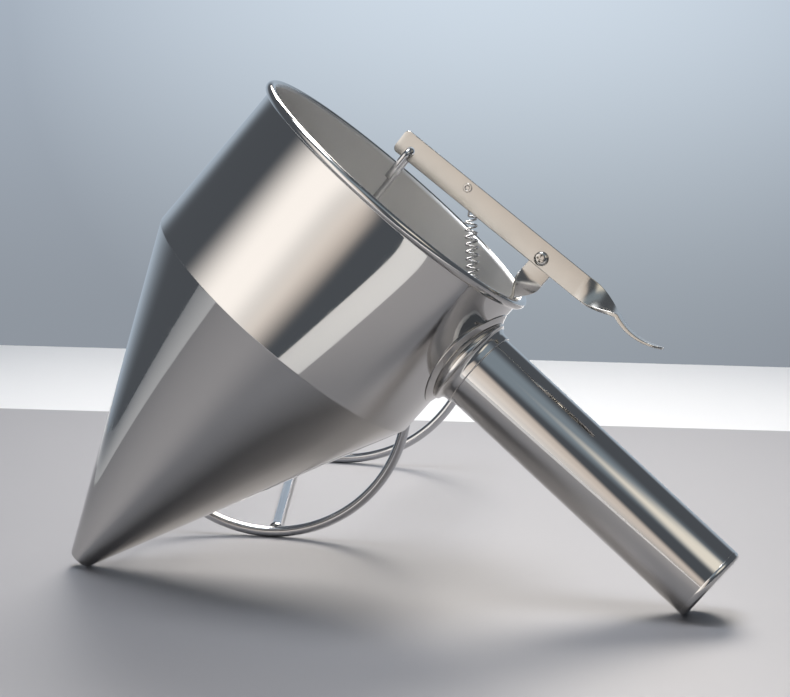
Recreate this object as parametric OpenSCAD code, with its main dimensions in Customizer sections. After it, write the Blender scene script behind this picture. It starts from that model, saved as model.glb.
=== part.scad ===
// A hand-held batter dispenser: a sheet-steel hopper with a conical bottom, a tube handle,
// and a sprung thumb lever that lifts a plunger out of the outlet. A wire stand goes with it.
// Millimetres. The dispenser lies as it does when it is put down: on its outlet and the end of
// its handle, leaning back on the wire stand, which lies on its side behind it.
// Each piece of the dispenser is drawn about the hopper's own axis, with the rim's top at z = 0
// and the handle towards +X, and at_rest() then lays it down. The stand is drawn standing up,
// with its top ring at z = 0, and stand_laid() lays it down.

/* [Hopper] */
// Outside diameter of the hopper's straight band
body_d = 128; // [100:1:170]
// Height of the straight band, from the rim's top to the cone
band_h = 70; // [56:1:110]
// Height of the cone, from the band to the outlet
cone_h = 130; // [90:1:180]
// Thickness of the hopper's sheet
sheet_t = 1; // [0.8:0.1:1.5]
// Diameter of the bead that is rolled outwards round the rim
bead_d = 3.8; // [2.6:0.1:5]
// Bore of the outlet
outlet_d = 7; // [5:0.5:12]
// Wall of the outlet's rounded lip
lip_t = 1.1; // [0.8:0.1:2]
// Length of the outlet's straight bore
outlet_len = 2.5; // [1.5:0.5:6]

/* [Handle] */
// Diameter of the handle's tube
handle_d = 32; // [26:1:40]
// Length of the handle, from the hopper's wall to its end
handle_len = 130; // [90:1:180]
// Depth of the handle's axis below the rim's top
handle_drop = 31; // [26:1:45]
// Wall of the handle's tube
handle_t = 1.2; // [0.8:0.1:2]
// Thickness of the cap that closes the handle's end
cap_t = 3; // [2.5:0.5:6]
// Radius of the rounded edge of the handle's end cap
cap_edge_r = 2; // [1:0.25:2.5]
// Width of the saddle plate that shows round the neck's foot
saddle_rim = 3.5; // [2:0.5:5]
// Thickness of the saddle plate
saddle_t = 1.2; // [0.8:0.1:2]
// Thickness of the neck's foot
neck_foot_t = 1.2; // [0.8:0.1:3]
// Radius of the hollow curve between the neck's foot and its collar
neck_curve_r = 2.6; // [1.5:0.1:4]
// Height of the neck's collar above the tube's surface
collar_step = 0.8; // [0.3:0.1:1.5]
// Length of the neck's collar
collar_len = 2.2; // [1:0.2:5]
// Diameter of the screw that holds the handle on
fixing_d = 6; // [4:0.5:8]
// Diameter of that screw's head, inside the hopper
fixing_head_d = 11; // [9:0.5:14]
// Height of that screw's head
fixing_head_h = 3; // [2:0.5:5]
// Length of that screw inside the neck
fixing_grip = 5; // [3:0.5:6]

/* [Thumb lever] */
// Width of the lever's strip
lever_w = 10; // [8:0.5:14]
// Thickness of the lever's strip
lever_t = 1.6; // [1.2:0.1:2.5]
// Rise of the lever towards the thumb, in degrees
lever_rise = 3.3; // [0:0.1:8]
// Height of the lever's pivot above the rim's top
pivot_z = 18; // [14:0.5:26]
// Distance of the lever's pivot inside the hopper's outer wall
pivot_inset = 3.6; // [3.6:0.1:6]
// Height of the strip's middle line above the pivot
lever_mid = 1.5; // [0:0.1:2]
// Length of the strip past the hook hole
lever_end = 6.4; // [4:0.2:12]
// Flat length of the strip from the pivot to its twist
lever_out = 19.5; // [8:0.5:30]
// Length of the strip's quarter-turn twist
twist_len = 17.5; // [12:0.5:26]
// Length of the thumb tab
tab_len = 21.5; // [14:0.5:30]
// Dip of the thumb tab's curve
tab_dip = 2.2; // [0:0.1:4]
// Lift of the thumb tab's tip
tab_lift = 1.2; // [0:0.1:4]

/* [Pivot and bracket] */
// Diameter of the pivot screw
pivot_d = 3; // [2.5:0.5:4]
// Diameter of the pivot screw's pan head
pan_d = 5.8; // [5:0.2:7]
// Height of the pivot screw's pan head
pan_h = 1.9; // [1.4:0.1:3]
// Width across the pivot nut's flats
nut_w = 5.5; // [5.5:0.5:8]
// Thickness of the pivot nut
nut_t = 2.4; // [2:0.2:4]
// Thread that stands out of the nut
thread_out = 0.9; // [0.4:0.1:2]
// Diameter of the washer between the lever and the bracket
washer_d = 7; // [6:0.5:9]
// Thickness of that washer
washer_t = 0.5; // [0.3:0.1:1]
// Width of the bracket's strip
bracket_w = 10.4; // [8.4:0.2:12]
// Thickness of the bracket's strip
bracket_t = 1.5; // [1:0.1:2]
// Length of the bracket that is welded inside the band
bracket_foot = 16; // [8:1:17]
// Height of the bracket's quarter-turn twist
bracket_twist = 10; // [7:0.5:10]

/* [Spring and its pin] */
// Outside diameter of the spring's coil
spring_d = 5.3; // [4.5:0.1:6]
// Diameter of the spring's wire
spring_wire = 0.8; // [0.6:0.1:0.9]
// Turns of the spring's coil
spring_turns = 15; // [10:1:16]
// Straight wire between the lever's pin and the coil
spring_top = 11; // [10:0.5:16]
// Straight wire between the coil and the handle's screw
spring_foot = 5; // [3:0.5:10]
// Diameter of the spring's pin in the lever
pin_d = 2; // [1.6:0.2:3]
// Diameter of the pin's riveted head
pin_head_d = 3.6; // [3:0.2:4.4]
// Distance from the pivot in to the spring's pin
pin_in = 40.1; // [25:0.1:50]
// Height of the spring's pin above the strip's middle line
pin_up = 1.8; // [0:0.1:2]

/* [Plunger] */
// Diameter of the plunger's rod
rod_d = 2.8; // [2:0.1:4]
// Distance of the hook hole past the hopper's axis
hook_past = 6.6; // [0:0.1:10]
// Depth of the hook hole below the strip's middle line
hook_down = 1.2; // [0:0.1:2]
// Bend radius of the rod's hook, at its middle line
hook_bend_r = 2.4; // [2:0.1:4]
// Length of the hook's tail
tail_len = 11; // [5:0.5:20]
// Length of the plug's cone
plug_len = 12; // [8:0.5:20]
// Depth of the plug's nose in the outlet's bore
plug_nose = 1; // [0.5:0.25:1.5]
// Height of the plug's sloping shoulder
plug_shoulder = 4; // [2:0.5:8]
// Depth of the rod in the plug
rod_seat = 8; // [4:0.5:10]

/* [Wire stand] */
// Diameter of the stand's wire
stand_wire = 4.5; // [3:0.25:6]
// Diameter of the stand's top ring, at the wire's middle
stand_top_d = 118; // [100:1:160]
// Diameter of the stand's base ring, at the wire's middle
stand_base_d = 132; // [110:1:200]
// Distance between the two rings
stand_h = 179; // [120:1:210]
// Angle of the first leg from the top ring's lowest point
leg_turn = 2.7; // [-30:0.1:30]
// Angle that a leg runs back round the stand on its way down
leg_lean = 21.5; // [0:0.1:30]
// Distance of the stand's resting place from the outlet, along the dispenser
stand_x = 52.5; // [20:0.5:90]
// Turn of the stand on the table
stand_turn = 5.5; // [-15:0.5:15]

/* [Resting pose] */
// Angle that the dispenser leans back on its stand
back_lean = 6.5; // [4:0.5:12]

/* [Clearances] */
// Radial gap of the lever on its pivot screw
pivot_gap = 0.05; // [0.02:0.01:0.1]
// Radial gap of a fixed pin or screw in its hole
press_gap = 0.03; // [0.02:0.01:0.1]
// Radial gap of the rod in the hook hole
hook_gap = 0.35; // [0.3:0.05:0.8]
// Gap at the brazed seams of the saddle plate, the neck and the bracket
seam_gap = 0.05; // [0.03:0.01:0.1]
// Gap on each side of the lever, at its washer, its screw and the rod's hook
side_gap = 0.1; // [0.05:0.05:0.3]
// Gap between the spring's wire and what it is hooked on
wire_gap = 0.1; // [0.05:0.05:0.2]
// Gap between the plug and its seat
plug_gap = 0.3; // [0.25:0.05:0.6]
// Gap between a leg's coped end and its ring
cope_gap = 0.1; // [0.05:0.05:0.3]
// Gap between the dispenser and the stand that it leans on
lean_gap = 0.3; // [0.25:0.05:0.6]

/* [Hidden] */

$fn = 96;
steel = [0.78, 0.78, 0.79];
bright = [0.86, 0.86, 0.87];
wire_grey = [0.62, 0.63, 0.66];

// Hopper
body_r = body_d / 2;
inner_r = body_r - sheet_t;
bead_r = bead_d / 2;
bead_mid_r = inner_r + bead_r;
hopper_h = band_h + cone_h;
outlet_r = outlet_d / 2;
tip_r = outlet_r + lip_t;
lip_r = lip_t / 2;
lip_mid_r = outlet_r + lip_r;
cone_half_angle = atan((body_r - tip_r) / cone_h);
cone_inner_r = body_r - sheet_t / cos(cone_half_angle);
seat_z = -hopper_h + outlet_len;
seat_slope = (cone_inner_r - outlet_r) / (cone_h - outlet_len);

// Handle
handle_r = handle_d / 2;
handle_end = body_r + handle_len;
collar_r = handle_r + collar_step;
neck_foot_r = collar_r + neck_curve_r;
saddle_r = neck_foot_r + saddle_rim;
saddle_out = body_r + saddle_t;
neck_foot_x = saddle_out + neck_foot_t;
collar_x = neck_foot_x + neck_curve_r;
tube_x = collar_x + collar_len;
tube_end = handle_end - cap_t;
cap_ring_r = handle_r - cap_edge_r;
fixing_r = fixing_d / 2;

// The lever lies in front of its bracket, with a washer between them
lever_back = -bracket_t / 2 - washer_t - side_gap;
lever_y = lever_back - lever_t / 2;
lever_front = lever_back - lever_t;
pivot_x = body_r - pivot_inset;
pivot_r = pivot_d / 2;
bracket_x = inner_r - seam_gap - bracket_t / 2 - chord_drop(inner_r - seam_gap, bracket_w / 2);
lever_low = lever_mid - lever_w / 2;
twist_start = lever_out;
tab_start = lever_out + twist_len;

// The hook hole, the pin and the hook's places in the lever's own frame, from the pivot
hook_u = -(pivot_x + hook_past) / cos(lever_rise);
hook_v = lever_mid - hook_down;
pin_v = lever_mid + pin_up;
bar_start = hook_u - lever_end;
hook_pt = lever_point(hook_u, hook_v);
pin_pt = lever_point(-pin_in, pin_v);

// The rod comes up behind the lever, passes through its hole and ends in a tail in front
rod_r = rod_d / 2;
hook_half = lever_t / 2 + side_gap;
rod_back = hook_half + hook_bend_r;
rod_top = [hook_pt.x, lever_y + rod_back, hook_pt.z];
plug_top_z = seat_z + plug_len + plug_shoulder;
rod_foot = [0, 0, plug_top_z - rod_seat];
rod_way = rod_foot - rod_top;
rod_len = norm(rod_way);
rod_tilt_y = atan(rod_way.x / rod_way.z);
rod_tilt_x = -asin(rod_way.y / rod_len);

// The spring's upper wire lies just behind the lever, and its lower wire behind the handle's screw
wire_r = spring_wire / 2;
coil_r = spring_d / 2 - wire_r;
coil_y = max(lever_back + wire_gap + wire_r + coil_r, fixing_r + wire_gap + wire_r - coil_r);
wire_y = coil_y - coil_r;
foot_y = coil_y + coil_r;
loop_r = pin_d / 2 + wire_gap + wire_r;
hook_wrap_r = foot_y;
wrap_x = inner_r - chord_drop(inner_r, hook_wrap_r + wire_r) - wire_gap - wire_r;
head_x = wrap_x - wire_r - wire_gap;
wrap_start_z = -handle_drop + fixing_head_d / 2 + spring_wire;
coil_line = [wrap_x - pin_pt.x, 0, wrap_start_z - pin_pt.z];
coil_dir = coil_line / norm(coil_line);
coil_len = norm(coil_line) - spring_top - spring_foot;
coil_side = [-coil_dir.z, 0, coil_dir.x];
coil_steps = 8;
coil_count = (spring_turns + 0.5) * coil_steps;
wire_sides = 6;

// Stand
stand_r = stand_wire / 2;
top_ring_r = stand_top_d / 2;
base_ring_r = stand_base_d / 2;
stand_tilt = atan((top_ring_r - base_ring_r) / stand_h);
leg_count = 3;

// How far the chord at half width w lies inside a circle of radius r
function chord_drop(r, w) = r - sqrt(r * r - w * w);
function turn_x(p, a) = [p.x, p.y * cos(a) - p.z * sin(a), p.y * sin(a) + p.z * cos(a)];
function turn_y(p, a) = [p.x * cos(a) + p.z * sin(a), p.y, p.z * cos(a) - p.x * sin(a)];
function turn_z(p, a) = [p.x * cos(a) - p.y * sin(a), p.x * sin(a) + p.y * cos(a), p.z];
function unit(v) = v / norm(v);
// A point of the lever, u along it and v above its pivot, in the hopper's frame
function lever_point(u, v) =
    [pivot_x + u * cos(lever_rise) - v * sin(lever_rise), lever_y,
     pivot_z + u * sin(lever_rise) + v * cos(lever_rise)];

// The lean at which the outlet's lip and the handle's end are equally low. A round edge of
// radius r about the direction n reaches r * sqrt(1 - n.z ^ 2) below its middle, so the lean
// is found by trying the last one in that formula.
function tip_reach(a) = sqrt(1 - pow(cos(a) * cos(back_lean), 2)) / (sin(a) * cos(back_lean));
function end_reach(a) = sqrt(1 - pow(sin(a) * cos(back_lean), 2)) / (cos(a) * cos(back_lean));
function lean_after(n) = n == 0 ? atan((hopper_h - handle_drop - handle_r) / handle_end) :
    let(a = lean_after(n - 1),
        high = hopper_h - lip_r - handle_drop - cap_ring_r * end_reach(a)
               + (lip_r - cap_edge_r) / (cos(a) * cos(back_lean)))
    atan(high / (handle_end - cap_edge_r - lip_mid_r * tip_reach(a)));
lean = lean_after(8);
function laid(p) = turn_x(turn_y(p, lean), -back_lean);
function unlaid(p) = turn_y(turn_x(p, back_lean), -lean);
hopper_axis = laid([0, 0, 1]);
handle_axis = laid([1, 0, 0]);
// Lowest point of a round edge: its middle, axis, radius and the radius of the edge itself
function low_point(c, n, r, e) = c - r * unit([0, 0, 1] - n * n.z) - [0, 0, e];
tip_low = low_point(laid([0, 0, lip_r - hopper_h]), hopper_axis, lip_mid_r, lip_r);

// The stand slides up to the dispenser until its top ring is lean_gap away from the hopper
function stand_point(p, y) =
    turn_z(turn_x(p + [0, top_ring_r, 0], 90 - stand_tilt), stand_turn) + [stand_x, y, stand_r];
function hopper_gap(p) =
    let(q = unlaid(p + tip_low), r = norm([q.x, q.y]),
        cone = (r - body_r + (-band_h - q.z) * tan(cone_half_angle)) * cos(cone_half_angle))
    max(r - body_r, cone, q.z);
function ring_gap(y) =
    min([for (a = [0:2:358]) hopper_gap(stand_point(top_ring_r * [cos(a), sin(a), 0], y))])
    - stand_r;
function stand_place(n, y) =
    n == 0 ? y : stand_place(n - 1, y + lean_gap - ring_gap(y));
stand_y = stand_place(12, body_r + 20);

// The object's box, from the round edges that reach furthest, so that the origin can lie at
// the middle of its bottom: each entry is an edge's middle, axis, radius and edge radius
edges = [
    [laid([0, 0, -bead_r]) - tip_low, hopper_axis, bead_mid_r, bead_r],
    [laid([0, 0, -band_h]) - tip_low, hopper_axis, body_r, 0],
    [laid([0, 0, lip_r - hopper_h]) - tip_low, hopper_axis, lip_mid_r, lip_r],
    [laid([handle_end - cap_edge_r, 0, -handle_drop]) - tip_low, handle_axis, cap_ring_r,
     cap_edge_r],
    [stand_point([0, 0, 0], stand_y),
     stand_point([0, 0, 1], stand_y) - stand_point([0, 0, 0], stand_y), top_ring_r, stand_r],
    [stand_point([0, 0, -stand_h], stand_y),
     stand_point([0, 0, 1], stand_y) - stand_point([0, 0, 0], stand_y), base_ring_r, stand_r]
];
function reach(e, i) = e[2] * sqrt(1 - e[1][i] * e[1][i]) + e[3];
function middle(i) = (min([for (e = edges) e[0][i] - reach(e, i)])
                      + max([for (e = edges) e[0][i] + reach(e, i)])) / 2;
origin = [middle(0), middle(1), 0];
function resting(p) = laid(p) - tip_low - origin;

module at_rest() {
    translate(-origin - tip_low) rotate([-back_lean, 0, 0]) rotate([0, lean, 0]) children();
}

module stand_laid() {
    translate([stand_x, stand_y, stand_r] - origin) rotate([0, 0, stand_turn])
        rotate([90 - stand_tilt, 0, 0]) translate([0, top_ring_r, 0]) children();
}

// Puts what is drawn along +Z onto the handle's axis, with z counted from the hopper's axis
module on_handle() {
    translate([0, 0, -handle_drop]) rotate([0, 90, 0]) children();
}

// Lever's own frame: x along the strip from the pivot, z up, y as the hopper's
module on_lever() {
    translate([pivot_x, 0, pivot_z]) rotate([0, -lever_rise, 0]) children();
}

// A bar of radius r along Y from y0 back to y1, at x and z
module cross_bar(x, z, y0, y1, r) {
    translate([x, y1, z]) rotate([90, 0, 0]) cylinder(r = r, h = y1 - y0);
}

module hopper_band() {
    color(bright) at_rest() difference() {
        rotate_extrude() {
            translate([inner_r, -band_h]) square([sheet_t, band_h - bead_r]);
            translate([bead_mid_r, -bead_r]) circle(r = bead_r);
        }
        on_handle() cylinder(r = fixing_r + press_gap, h = body_r + sheet_t);
    }
}

module hopper_cone() {
    color(bright) at_rest() rotate_extrude() {
        polygon([[outlet_r, lip_r - hopper_h], [tip_r, lip_r - hopper_h], [body_r, -band_h],
                 [cone_inner_r, -band_h], [outlet_r, seat_z]]);
        translate([lip_mid_r, lip_r - hopper_h]) circle(r = lip_r);
    }
}

// A core about the hopper's axis, past the saddle plate's top and bottom
module upright_core(r) {
    translate([0, 0, -handle_drop - 2 * saddle_r]) cylinder(r = r, h = 4 * saddle_r);
}

module handle_saddle() {
    color(bright) at_rest() difference() {
        intersection() {
            on_handle() cylinder(r = saddle_r, h = saddle_out + saddle_t);
            upright_core(saddle_out);
        }
        upright_core(body_r + seam_gap);
        on_handle() cylinder(r = fixing_r + press_gap, h = saddle_out + saddle_t);
    }
}

module handle_neck() {
    color(bright) at_rest() difference() {
        on_handle() rotate_extrude() difference() {
            union() {
                square([neck_foot_r, collar_x]);
                square([collar_r, tube_x]);
            }
            translate([neck_foot_r, collar_x]) circle(r = neck_curve_r);
        }
        upright_core(saddle_out + seam_gap);
        on_handle() cylinder(r = fixing_r + press_gap, h = saddle_out + fixing_grip);
    }
}

module handle_tube() {
    color(bright) at_rest() on_handle() rotate_extrude()
        translate([handle_r - handle_t, tube_x]) square([handle_t, tube_end - tube_x]);
}

module handle_end_cap() {
    color(bright) at_rest() on_handle() rotate_extrude() {
        translate([0, tube_end]) square([handle_r, cap_t - cap_edge_r]);
        translate([0, tube_end]) square([cap_ring_r, cap_t]);
        translate([cap_ring_r, handle_end - cap_edge_r]) intersection() {
            circle(r = cap_edge_r);
            square(cap_edge_r);
        }
    }
}

module handle_screw() {
    head_r = fixing_head_d / 2;
    dome_r = (head_r * head_r + fixing_head_h * fixing_head_h) / (2 * fixing_head_h);
    color(steel) at_rest() on_handle() {
        translate([0, 0, head_x]) cylinder(r = fixing_r, h = saddle_out + fixing_grip - head_x);
        difference() {
            rotate_extrude() intersection() {
                translate([0, head_x - fixing_head_h]) square([head_r, fixing_head_h]);
                translate([0, head_x - fixing_head_h + dome_r]) circle(r = dome_r);
            }
            translate([-head_r * 0.6, -0.5, head_x - fixing_head_h - 1])
                cube([head_r * 1.2, 1, 2.2]);
        }
    }
}

// Pan head with a cross recess, its flat face at z = 0 and its top at z = h
module pan_head(d, h) {
    dome_r = (d * d / 4 + h * h) / (2 * h);
    slot = d * 0.14;
    difference() {
        rotate_extrude() intersection() {
            square([d / 2, h]);
            translate([0, h - dome_r]) circle(r = dome_r);
        }
        for (a = [0, 90]) rotate([0, 0, a])
            translate([-d * 0.28, -slot / 2, h * 0.45]) cube([d * 0.56, slot, h]);
    }
}

// The strip is welded inside the wall, turns a quarter above the rim and ends round the pivot
module fulcrum_bracket() {
    ear_z = bracket_twist;
    ear_r = bracket_w / 2;
    color(steel) at_rest() difference() {
        union() {
            translate([bracket_x, 0, -bracket_foot / 2])
                cube([bracket_t, bracket_w, bracket_foot], center = true);
            translate([bracket_x, 0, 0])
                linear_extrude(height = ear_z, twist = 90, slices = 16, segments = 12)
                square([bracket_t, bracket_w], center = true);
            translate([bracket_x, bracket_t / 2, 0]) rotate([90, 0, 0])
                linear_extrude(height = bracket_t) {
                    translate([-ear_r, ear_z]) square([bracket_w, pivot_z - ear_z]);
                    translate([0, pivot_z]) circle(r = ear_r);
                }
        }
        cross_bar(pivot_x, pivot_z, -bracket_t, bracket_t, pivot_r + press_gap);
    }
}

module pivot_screw() {
    head_y = lever_front - side_gap;
    end_y = bracket_t / 2 + nut_t + thread_out;
    color(steel) at_rest() {
        cross_bar(pivot_x, pivot_z, head_y, end_y, pivot_r);
        translate([pivot_x, head_y, pivot_z]) rotate([90, 0, 0]) rotate([0, 0, 20])
            pan_head(pan_d, pan_h);
    }
}

module pivot_washer() {
    color(steel) at_rest() difference() {
        cross_bar(pivot_x, pivot_z, -bracket_t / 2 - washer_t, -bracket_t / 2, washer_d / 2);
        cross_bar(pivot_x, pivot_z, -bracket_t, 0, pivot_r + press_gap);
    }
}

module pivot_nut() {
    color(steel) at_rest() difference() {
        translate([pivot_x, bracket_t / 2 + nut_t, pivot_z]) rotate([90, 0, 0])
            cylinder(d = nut_w / cos(30), h = nut_t, $fn = 6);
        cross_bar(pivot_x, pivot_z, 0, bracket_t + nut_t, pivot_r + press_gap);
    }
}

// Middle line of the thumb tab: a cubic curve that dips and then lifts
tab_ctrl = [[0, 0], [tab_len * 0.35, -tab_dip * 1.5], [tab_len * 0.7, -tab_dip],
            [tab_len, tab_lift]];
function tab_point(t) = pow(1 - t, 3) * tab_ctrl[0] + 3 * t * pow(1 - t, 2) * tab_ctrl[1]
                        + 3 * t * t * (1 - t) * tab_ctrl[2] + pow(t, 3) * tab_ctrl[3];
function tab_side(t) =
    let(d = tab_point(min(1, t + 0.01)) - tab_point(max(0, t - 0.01)))
    t == 0 ? [0, 1] : [-d.y, d.x] / norm(d);

module thumb_tab() {
    steps = [for (i = [0:14]) i / 14];
    up = [for (t = steps) tab_point(t) + tab_side(t) * lever_t / 2];
    down = [for (t = steps) tab_point(1 - t) - tab_side(1 - t) * lever_t / 2];
    corner = lever_w / 3;
    intersection() {
        translate([tab_start, lever_y + lever_w / 2, lever_mid]) rotate([90, 0, 0])
            linear_extrude(height = lever_w) polygon(concat(up, down));
        translate([tab_start, lever_y, lever_mid - lever_w]) linear_extrude(height = 2 * lever_w) {
            translate([-1, -lever_w / 2]) square([tab_len - corner + 1, lever_w]);
            translate([0, corner - lever_w / 2]) square([tab_len, lever_w - 2 * corner]);
            for (s = [-1, 1]) translate([tab_len - corner, s * (lever_w / 2 - corner)])
                circle(r = corner);
        }
    }
}

module lever_bar() {
    corner = lever_w / 5;
    translate([0, lever_back, 0]) rotate([90, 0, 0]) linear_extrude(height = lever_t) {
        translate([bar_start + corner, lever_low])
            square([twist_start - bar_start - corner, lever_w]);
        translate([bar_start, lever_low + corner]) square([corner * 2, lever_w - 2 * corner]);
        for (s = [-1, 1])
            translate([bar_start + corner, lever_mid + s * (lever_w / 2 - corner)])
                circle(r = corner);
    }
}

module trigger_lever() {
    color(steel) at_rest() on_lever() difference() {
        union() {
            lever_bar();
            translate([twist_start, lever_y, lever_mid]) rotate([0, 90, 0])
                linear_extrude(height = twist_len, twist = 90, slices = 20, segments = 12)
                square([lever_w, lever_t], center = true);
            thumb_tab();
        }
        cross_bar(0, 0, lever_front - 1, lever_back + 1, pivot_r + pivot_gap);
        cross_bar(hook_u, hook_v, lever_front - 1, lever_back + 1, rod_r + hook_gap);
        cross_bar(-pin_in, pin_v, lever_front - 1, lever_back + 1, pin_d / 2 + press_gap);
    }
}

module spring_pin() {
    end_y = wire_y + wire_r + wire_gap;
    color(steel) at_rest() on_lever() {
        cross_bar(-pin_in, pin_v, lever_front, end_y, pin_d / 2);
        cross_bar(-pin_in, pin_v, lever_front - 0.5, lever_front, pin_head_d / 2);
        cross_bar(-pin_in, pin_v, end_y, end_y + 0.4, pin_head_d / 2);
    }
}

// The spring's middle line: a loop round the lever's pin, a straight wire, the coil, another
// straight wire and a hook round the handle's screw
coil_top = pin_pt + coil_dir * spring_top;
top_side = asin(loop_r / spring_top);
function in_plane(a) = cos(a) * -coil_dir + sin(a) * coil_side;
function at_y(p, y) = [p.x, y, p.z];
loop_pts = [for (a = [-270:30:0]) at_y(pin_pt + loop_r * in_plane(a + 90 + top_side), wire_y)];
coil_pts = [for (i = [0:coil_count])
    let(a = 360 * i / coil_steps)
    at_y(coil_top, coil_y) + coil_dir * coil_len * i / coil_count
    + coil_r * (cos(a) * [0, -1, 0] + sin(a) * coil_side)];
wrap_pts = [for (a = [0:-30:-180])
    [wrap_x, hook_wrap_r * cos(a), hook_wrap_r * sin(a) - handle_drop]];
wire_pts = concat(
    [loop_pts[0] - unit(loop_pts[1] - loop_pts[0]) * spring_wire], loop_pts,
    [at_y(coil_top - coil_dir * 1.2, wire_y)], coil_pts,
    [at_y(coil_top + coil_dir * (coil_len + 1.2), foot_y), [wrap_x, foot_y, wrap_start_z]],
    wrap_pts, [wrap_pts[6] + [0, 0, spring_wire]]);
wire_count = len(wire_pts);
function wire_dir(i) = unit(wire_pts[min(i + 1, wire_count - 1)] - wire_pts[max(i - 1, 0)]);
function square_to(n, d) = unit(n - d * (n * d));
wire_side = [for (i = 0, n = square_to([0.2, 1, 0.1], wire_dir(0)); i < wire_count;
    i = i + 1, n = i < wire_count ? square_to(n, wire_dir(i)) : n) n];
wire_gap_found = min([for (i = [0:wire_count - 6], j = [i + 5:wire_count - 1])
    norm(wire_pts[i] - wire_pts[j])]) - spring_wire;

module return_spring() {
    points = [for (i = [0:wire_count - 1], k = [0:wire_sides - 1])
        let(a = 360 * k / wire_sides)
        wire_pts[i] + wire_r * (cos(a) * wire_side[i] + sin(a) * cross(wire_dir(i), wire_side[i]))];
    walls = [for (i = [0:wire_count - 2], k = [0:wire_sides - 1])
        let(a = i * wire_sides + k, b = i * wire_sides + (k + 1) % wire_sides)
        each [[a, b + wire_sides, b], [a, a + wire_sides, b + wire_sides]]];
    last = (wire_count - 1) * wire_sides;
    ends = [for (k = [1:wire_sides - 2]) each [[0, k, k + 1], [last, last + k + 1, last + k]]];
    color(steel) at_rest() polyhedron(points, concat(walls, ends), convexity = 8);
}

// The rod hangs from the hook hole and leans a little to reach the outlet
module on_rod() {
    translate(hook_pt) rotate([rod_tilt_x, rod_tilt_y, 0]) children();
}

module plunger_rod() {
    color(steel) at_rest() on_rod() {
        cross_bar(0, 0, -hook_half, hook_half, rod_r);
        for (s = [-1, 1]) translate([0, s * hook_half, -hook_bend_r]) rotate([0, 0, s * 90])
            rotate([90, 0, 0]) rotate_extrude(angle = 90)
                translate([hook_bend_r, 0]) circle(r = rod_r);
        translate([0, rod_back, -rod_len]) cylinder(r = rod_r, h = rod_len - hook_bend_r);
        translate([0, -rod_back, -hook_bend_r - tail_len]) cylinder(r = rod_r, h = tail_len);
    }
}

// A cone that fits the hopper's bottom, with a nose in the outlet's bore
module plunger_plug() {
    nose_r = outlet_r - plug_gap;
    top_r = nose_r + seat_slope * plug_len;
    color(steel) at_rest() difference() {
        rotate_extrude() polygon([[0, seat_z - plug_nose], [nose_r - 0.4, seat_z - plug_nose],
            [nose_r, seat_z - plug_nose + 0.4], [nose_r, seat_z],
            [top_r, seat_z + plug_len], [rod_r * 2, plug_top_z], [0, plug_top_z]]);
        on_rod() translate([0, rod_back, -rod_len])
            cylinder(r = rod_r + press_gap, h = rod_seat + 10);
    }
}

module wire_ring(r, z) {
    translate([0, 0, z]) rotate_extrude() translate([r, 0]) circle(r = stand_r);
}

module stand_top_ring() {
    color(wire_grey) stand_laid() wire_ring(top_ring_r, 0);
}

module stand_base_ring() {
    color(wire_grey) stand_laid() wire_ring(base_ring_r, -stand_h);
}

// The room that a ring's wire takes where a leg meets it, at the angle a round the stand
module ring_room(r, a, z) {
    translate([r * cos(a), r * sin(a), z]) rotate([0, 0, a]) rotate([90, 0, 0])
        cylinder(r = stand_r + cope_gap, h = 4 * stand_r, center = true);
}

// A leg runs from ring to ring, coped to both. Angles are from the rings' lowest points
module stand_leg(i) {
    a = leg_turn + 360 * i / leg_count - 90;
    b = a - leg_lean;
    top = [top_ring_r * cos(a), top_ring_r * sin(a), 0];
    foot = [base_ring_r * cos(b), base_ring_r * sin(b), -stand_h];
    way = top - foot;
    color(wire_grey) stand_laid() difference() {
        translate(foot) rotate([0, acos(way.z / norm(way)), atan2(way.y, way.x)])
            cylinder(r = stand_r, h = norm(way));
        ring_room(top_ring_r, a, 0);
        ring_room(base_ring_r, b, -stand_h);
    }
}

module stand_leg_1() { stand_leg(0); }
module stand_leg_2() { stand_leg(1); }
module stand_leg_3() { stand_leg(2); }

echo(spring_least_gap = wire_gap_found);
echo(hopper_axis = hopper_axis, handle_axis = handle_axis, hinge_axis = laid([0, 1, 0]));
echo(pivot = resting([pivot_x, lever_y, pivot_z]), hook = resting(hook_pt));
echo(outlet = resting([0, 0, -hopper_h]), rim_mid = resting([0, 0, 0]));
echo(tube_mid = resting([(tube_x + tube_end) / 2, 0, -handle_drop]), tube_len = tube_end - tube_x);
echo(handle_end_mid = resting([handle_end, 0, -handle_drop]));
echo(anchor = resting([wrap_x, 0, -handle_drop]));
echo(stand_top = stand_point([0, 0, 0], stand_y) - origin);
echo(stand_base = stand_point([0, 0, -stand_h], stand_y) - origin);
echo(stand_axis = stand_point([0, 0, 1], stand_y) - stand_point([0, 0, 0], stand_y));

hopper_band();
hopper_cone();
handle_saddle();
handle_neck();
handle_tube();
handle_end_cap();
handle_screw();
fulcrum_bracket();
pivot_screw();
pivot_washer();
pivot_nut();
trigger_lever();
spring_pin();
return_spring();
plunger_rod();
plunger_plug();
stand_top_ring();
stand_base_ring();
stand_leg_1();
stand_leg_2();
stand_leg_3();
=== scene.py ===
"""The looks of the batter dispenser and its wire stand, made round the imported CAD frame.

Lengths are metres in the row frame. A piece of the dispenser is worked out about the hopper's
own axis, with the rim's top at z = 0 and the handle towards +X, and a place function then lays
it down as the CAD does. The stand is worked out standing up and is laid down in the same way.
"""

import math

import bpy
import numpy as np
from bpy.props import FloatProperty, FloatVectorProperty, IntProperty, PointerProperty
from mathutils import Matrix


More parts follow.
